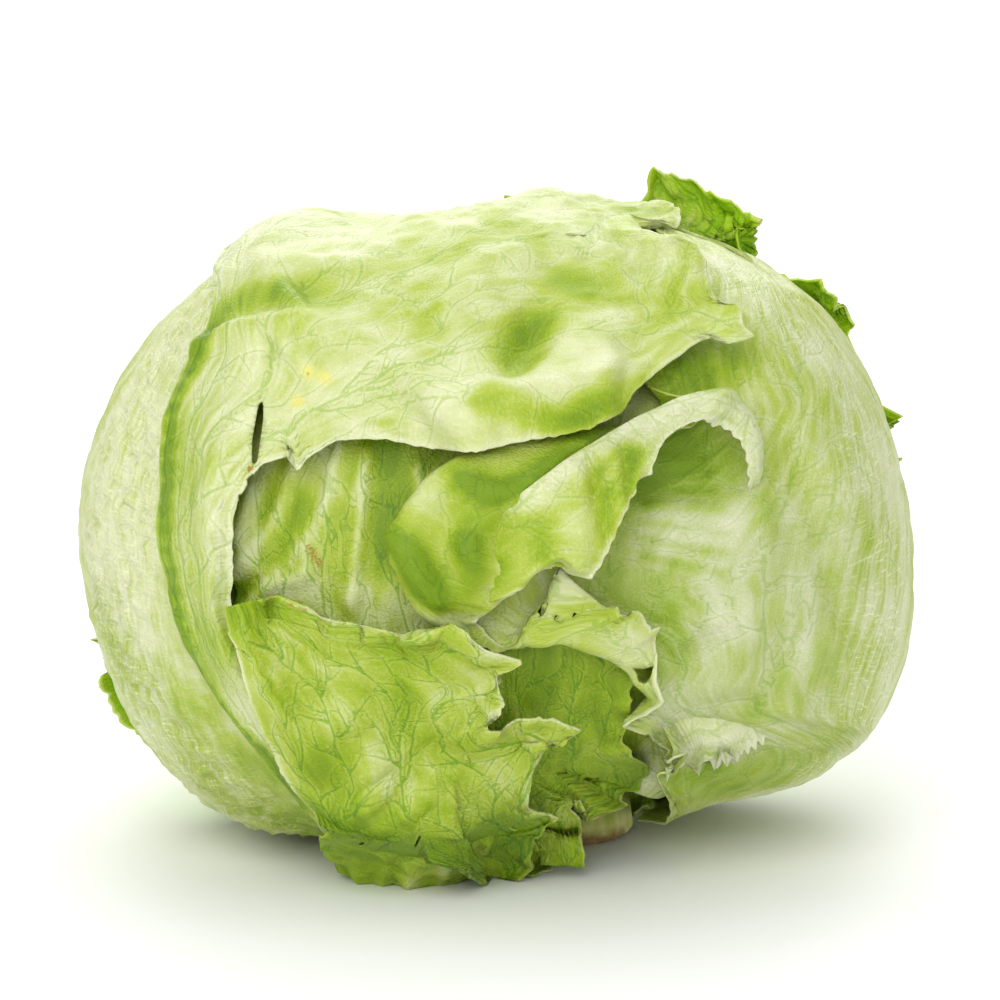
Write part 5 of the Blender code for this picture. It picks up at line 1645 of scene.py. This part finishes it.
LEAF_BACK = dict(
    name="leaf_back", seed=10, inset=0.0, floor=0.0, sole=0.0, rows=34, columns=12,
    ribs=bands(
        (root(178, 0), root(145, 0), root(112, 0)), (-172, -55, 146, -52, 125, -54),
        (-168, -38, 145, -40, 114, -38), (-165, -20, 145, -20, 110, -20),
        (-163, -2, 144, -2, 107, 0), (-163, 9, 144, 8, 111, 9),
        (-163, 18, 144, 17, 105, 18), (-163, 26, 145, 25, 111, 26), (-164, 34, 145, 33, 103, 35),
        (-165, 42, 146, 42, 112, 44), (-168, 52, 147, 52, 114, 53), (-171, 59, 149, 61, 118, 62),
    ),
    free={"left": SOFT_EDGE, "right": FRILLY_EDGE, "tip": FRILLY_EDGE},
    shaping=[
        ([root(140, 0), around(145, -58), around(145, -20), around(146, 40)], 7.0, 2.5),
        ([around(122, 64)], 13.0, 10.0), ([around(104, 35)], 9.0, 5.0), ([around(104, 18)], 6.0, 3.0),
        ([around(126, -54)], 9.0, 8.0),
    ],
    fine_wrinkle=2.4,
    drawn=[("right", 6.5, 11.0, BACK_MARGIN), ("tip", 0.3, 1.0, BACK_TIP)],
    steps=(6, 9), green=(0.15, 0.22, 0.32, 0.5), margin=FRILLY_MARGIN, pucker=1.8, vein_spacing=8.0,
    mains=whole(0.2, 0.5, 0.8),
    material=dict(vein_depth=1.0, ramp=BRIGHT_RAMP),
)

LEAVES = [LEAF_INNER, LEAF_UNDER, LEAF_RIGHT, LEAF_LEFT, LEAF_CROWN, LEAF_LOW, LEAF_FRONT, LEAF_BACK_LEFT,
          LEAF_BACK]
EXTRAS = [UNDER_SECOND, PLEAT, FOOT_LACE]


def add_floor():
    """A plain pale floor."""
    bpy.ops.mesh.primitive_plane_add(size=FLOOR_SIZE)
    floor = bpy.context.object
    floor.name = "floor"
    material = bpy.data.materials.new("floor")
    material.use_nodes = True
    shader = material.node_tree.nodes["Principled BSDF"]
    shader.inputs["Base Color"].default_value = FLOOR_COLOUR
    shader.inputs["Roughness"].default_value = 0.9
    shader.inputs["Specular IOR Level"].default_value = 0.1
    floor.data.materials.append(material)


def add_light(name, place, size, power):
    """A soft square light that faces the head."""
    data = bpy.data.lights.new(name, "AREA")
    data.size = size
    data.energy = power
    light = bpy.data.objects.new(name, data)
    light.location = place
    towards = LIT_POINT - Vector(place)
    light.rotation_mode = "QUATERNION"
    light.rotation_quaternion = towards.to_track_quat("-Z", "Y")
    bpy.context.scene.collection.objects.link(light)


def add_camera():
    """The camera, from where the front view is drawn."""
    data = bpy.data.cameras.new("camera")
    data.sensor_width = SENSOR
    data.lens = SENSOR * VIEW_DISTANCE / (2 * VIEW_CENTRE * UNIT)
    data.clip_start = 0.01
    camera = bpy.data.objects.new("camera", data)
    camera.location = (EYE + FRAME_SHIFT) * MM
    camera.rotation_mode = "QUATERNION"
    camera.rotation_quaternion = Vector(AWAY).to_track_quat("-Z", "Y")
    bpy.context.scene.collection.objects.link(camera)
    bpy.context.scene.camera = camera


def add_sky():
    """Even white light from all round."""
    world = bpy.data.worlds.new("studio")
    world.use_nodes = True
    background = world.node_tree.nodes["Background"]
    background.inputs["Color"].default_value = (1.0, 1.0, 1.0, 1.0)
    background.inputs["Strength"].default_value = SKY
    bpy.context.scene.world = world


def add_leaf(leaf, inside):
    """One leaf piece, settled over the solids inside it."""
    sheet = Sheet(leaf, inside)
    draw_margins(sheet)
    frill(sheet)
    sheet.vein = vein_field(sheet, grown_veins(sheet))
    crumple(sheet)
    piece = sheet_object(sheet, leaf_material(leaf["name"] + "_skin", **leaf["material"]))
    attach(piece, "root")
    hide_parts(leaf["name"])


def add_leaves():
    """Every leaf, from the inside out, each over the CAD leaves inside it, and the extra pieces of some."""
    inside = [solid_surface(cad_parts["heart"])]
    for leaf in LEAVES:
        add_leaf(leaf, inside)
        inside.append(solid_surface(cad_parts[leaf["name"]]))
    for leaf in EXTRAS:
        add_leaf(leaf, inside[: leaf.get("layers", 1)])


def main():
    add_leaves()
    stem = stem_object(stem_material())
    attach(stem, "root")
    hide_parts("stem")
    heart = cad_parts["heart"]
    heart.data.materials.clear()
    heart.data.materials.append(heart_material())
    add_floor()
    add_light("key", (-0.30, -1.10, 0.80), 0.9, 10.0)
    add_light("top", (0.0, 0.4, 1.4), 1.2, 5.0)
    add_light("backdrop", (0.0, 3.5, 2.2), 3.0, 75.0)
    add_sky()
    add_camera()
    bpy.context.scene.view_settings.view_transform = "Standard"


main()
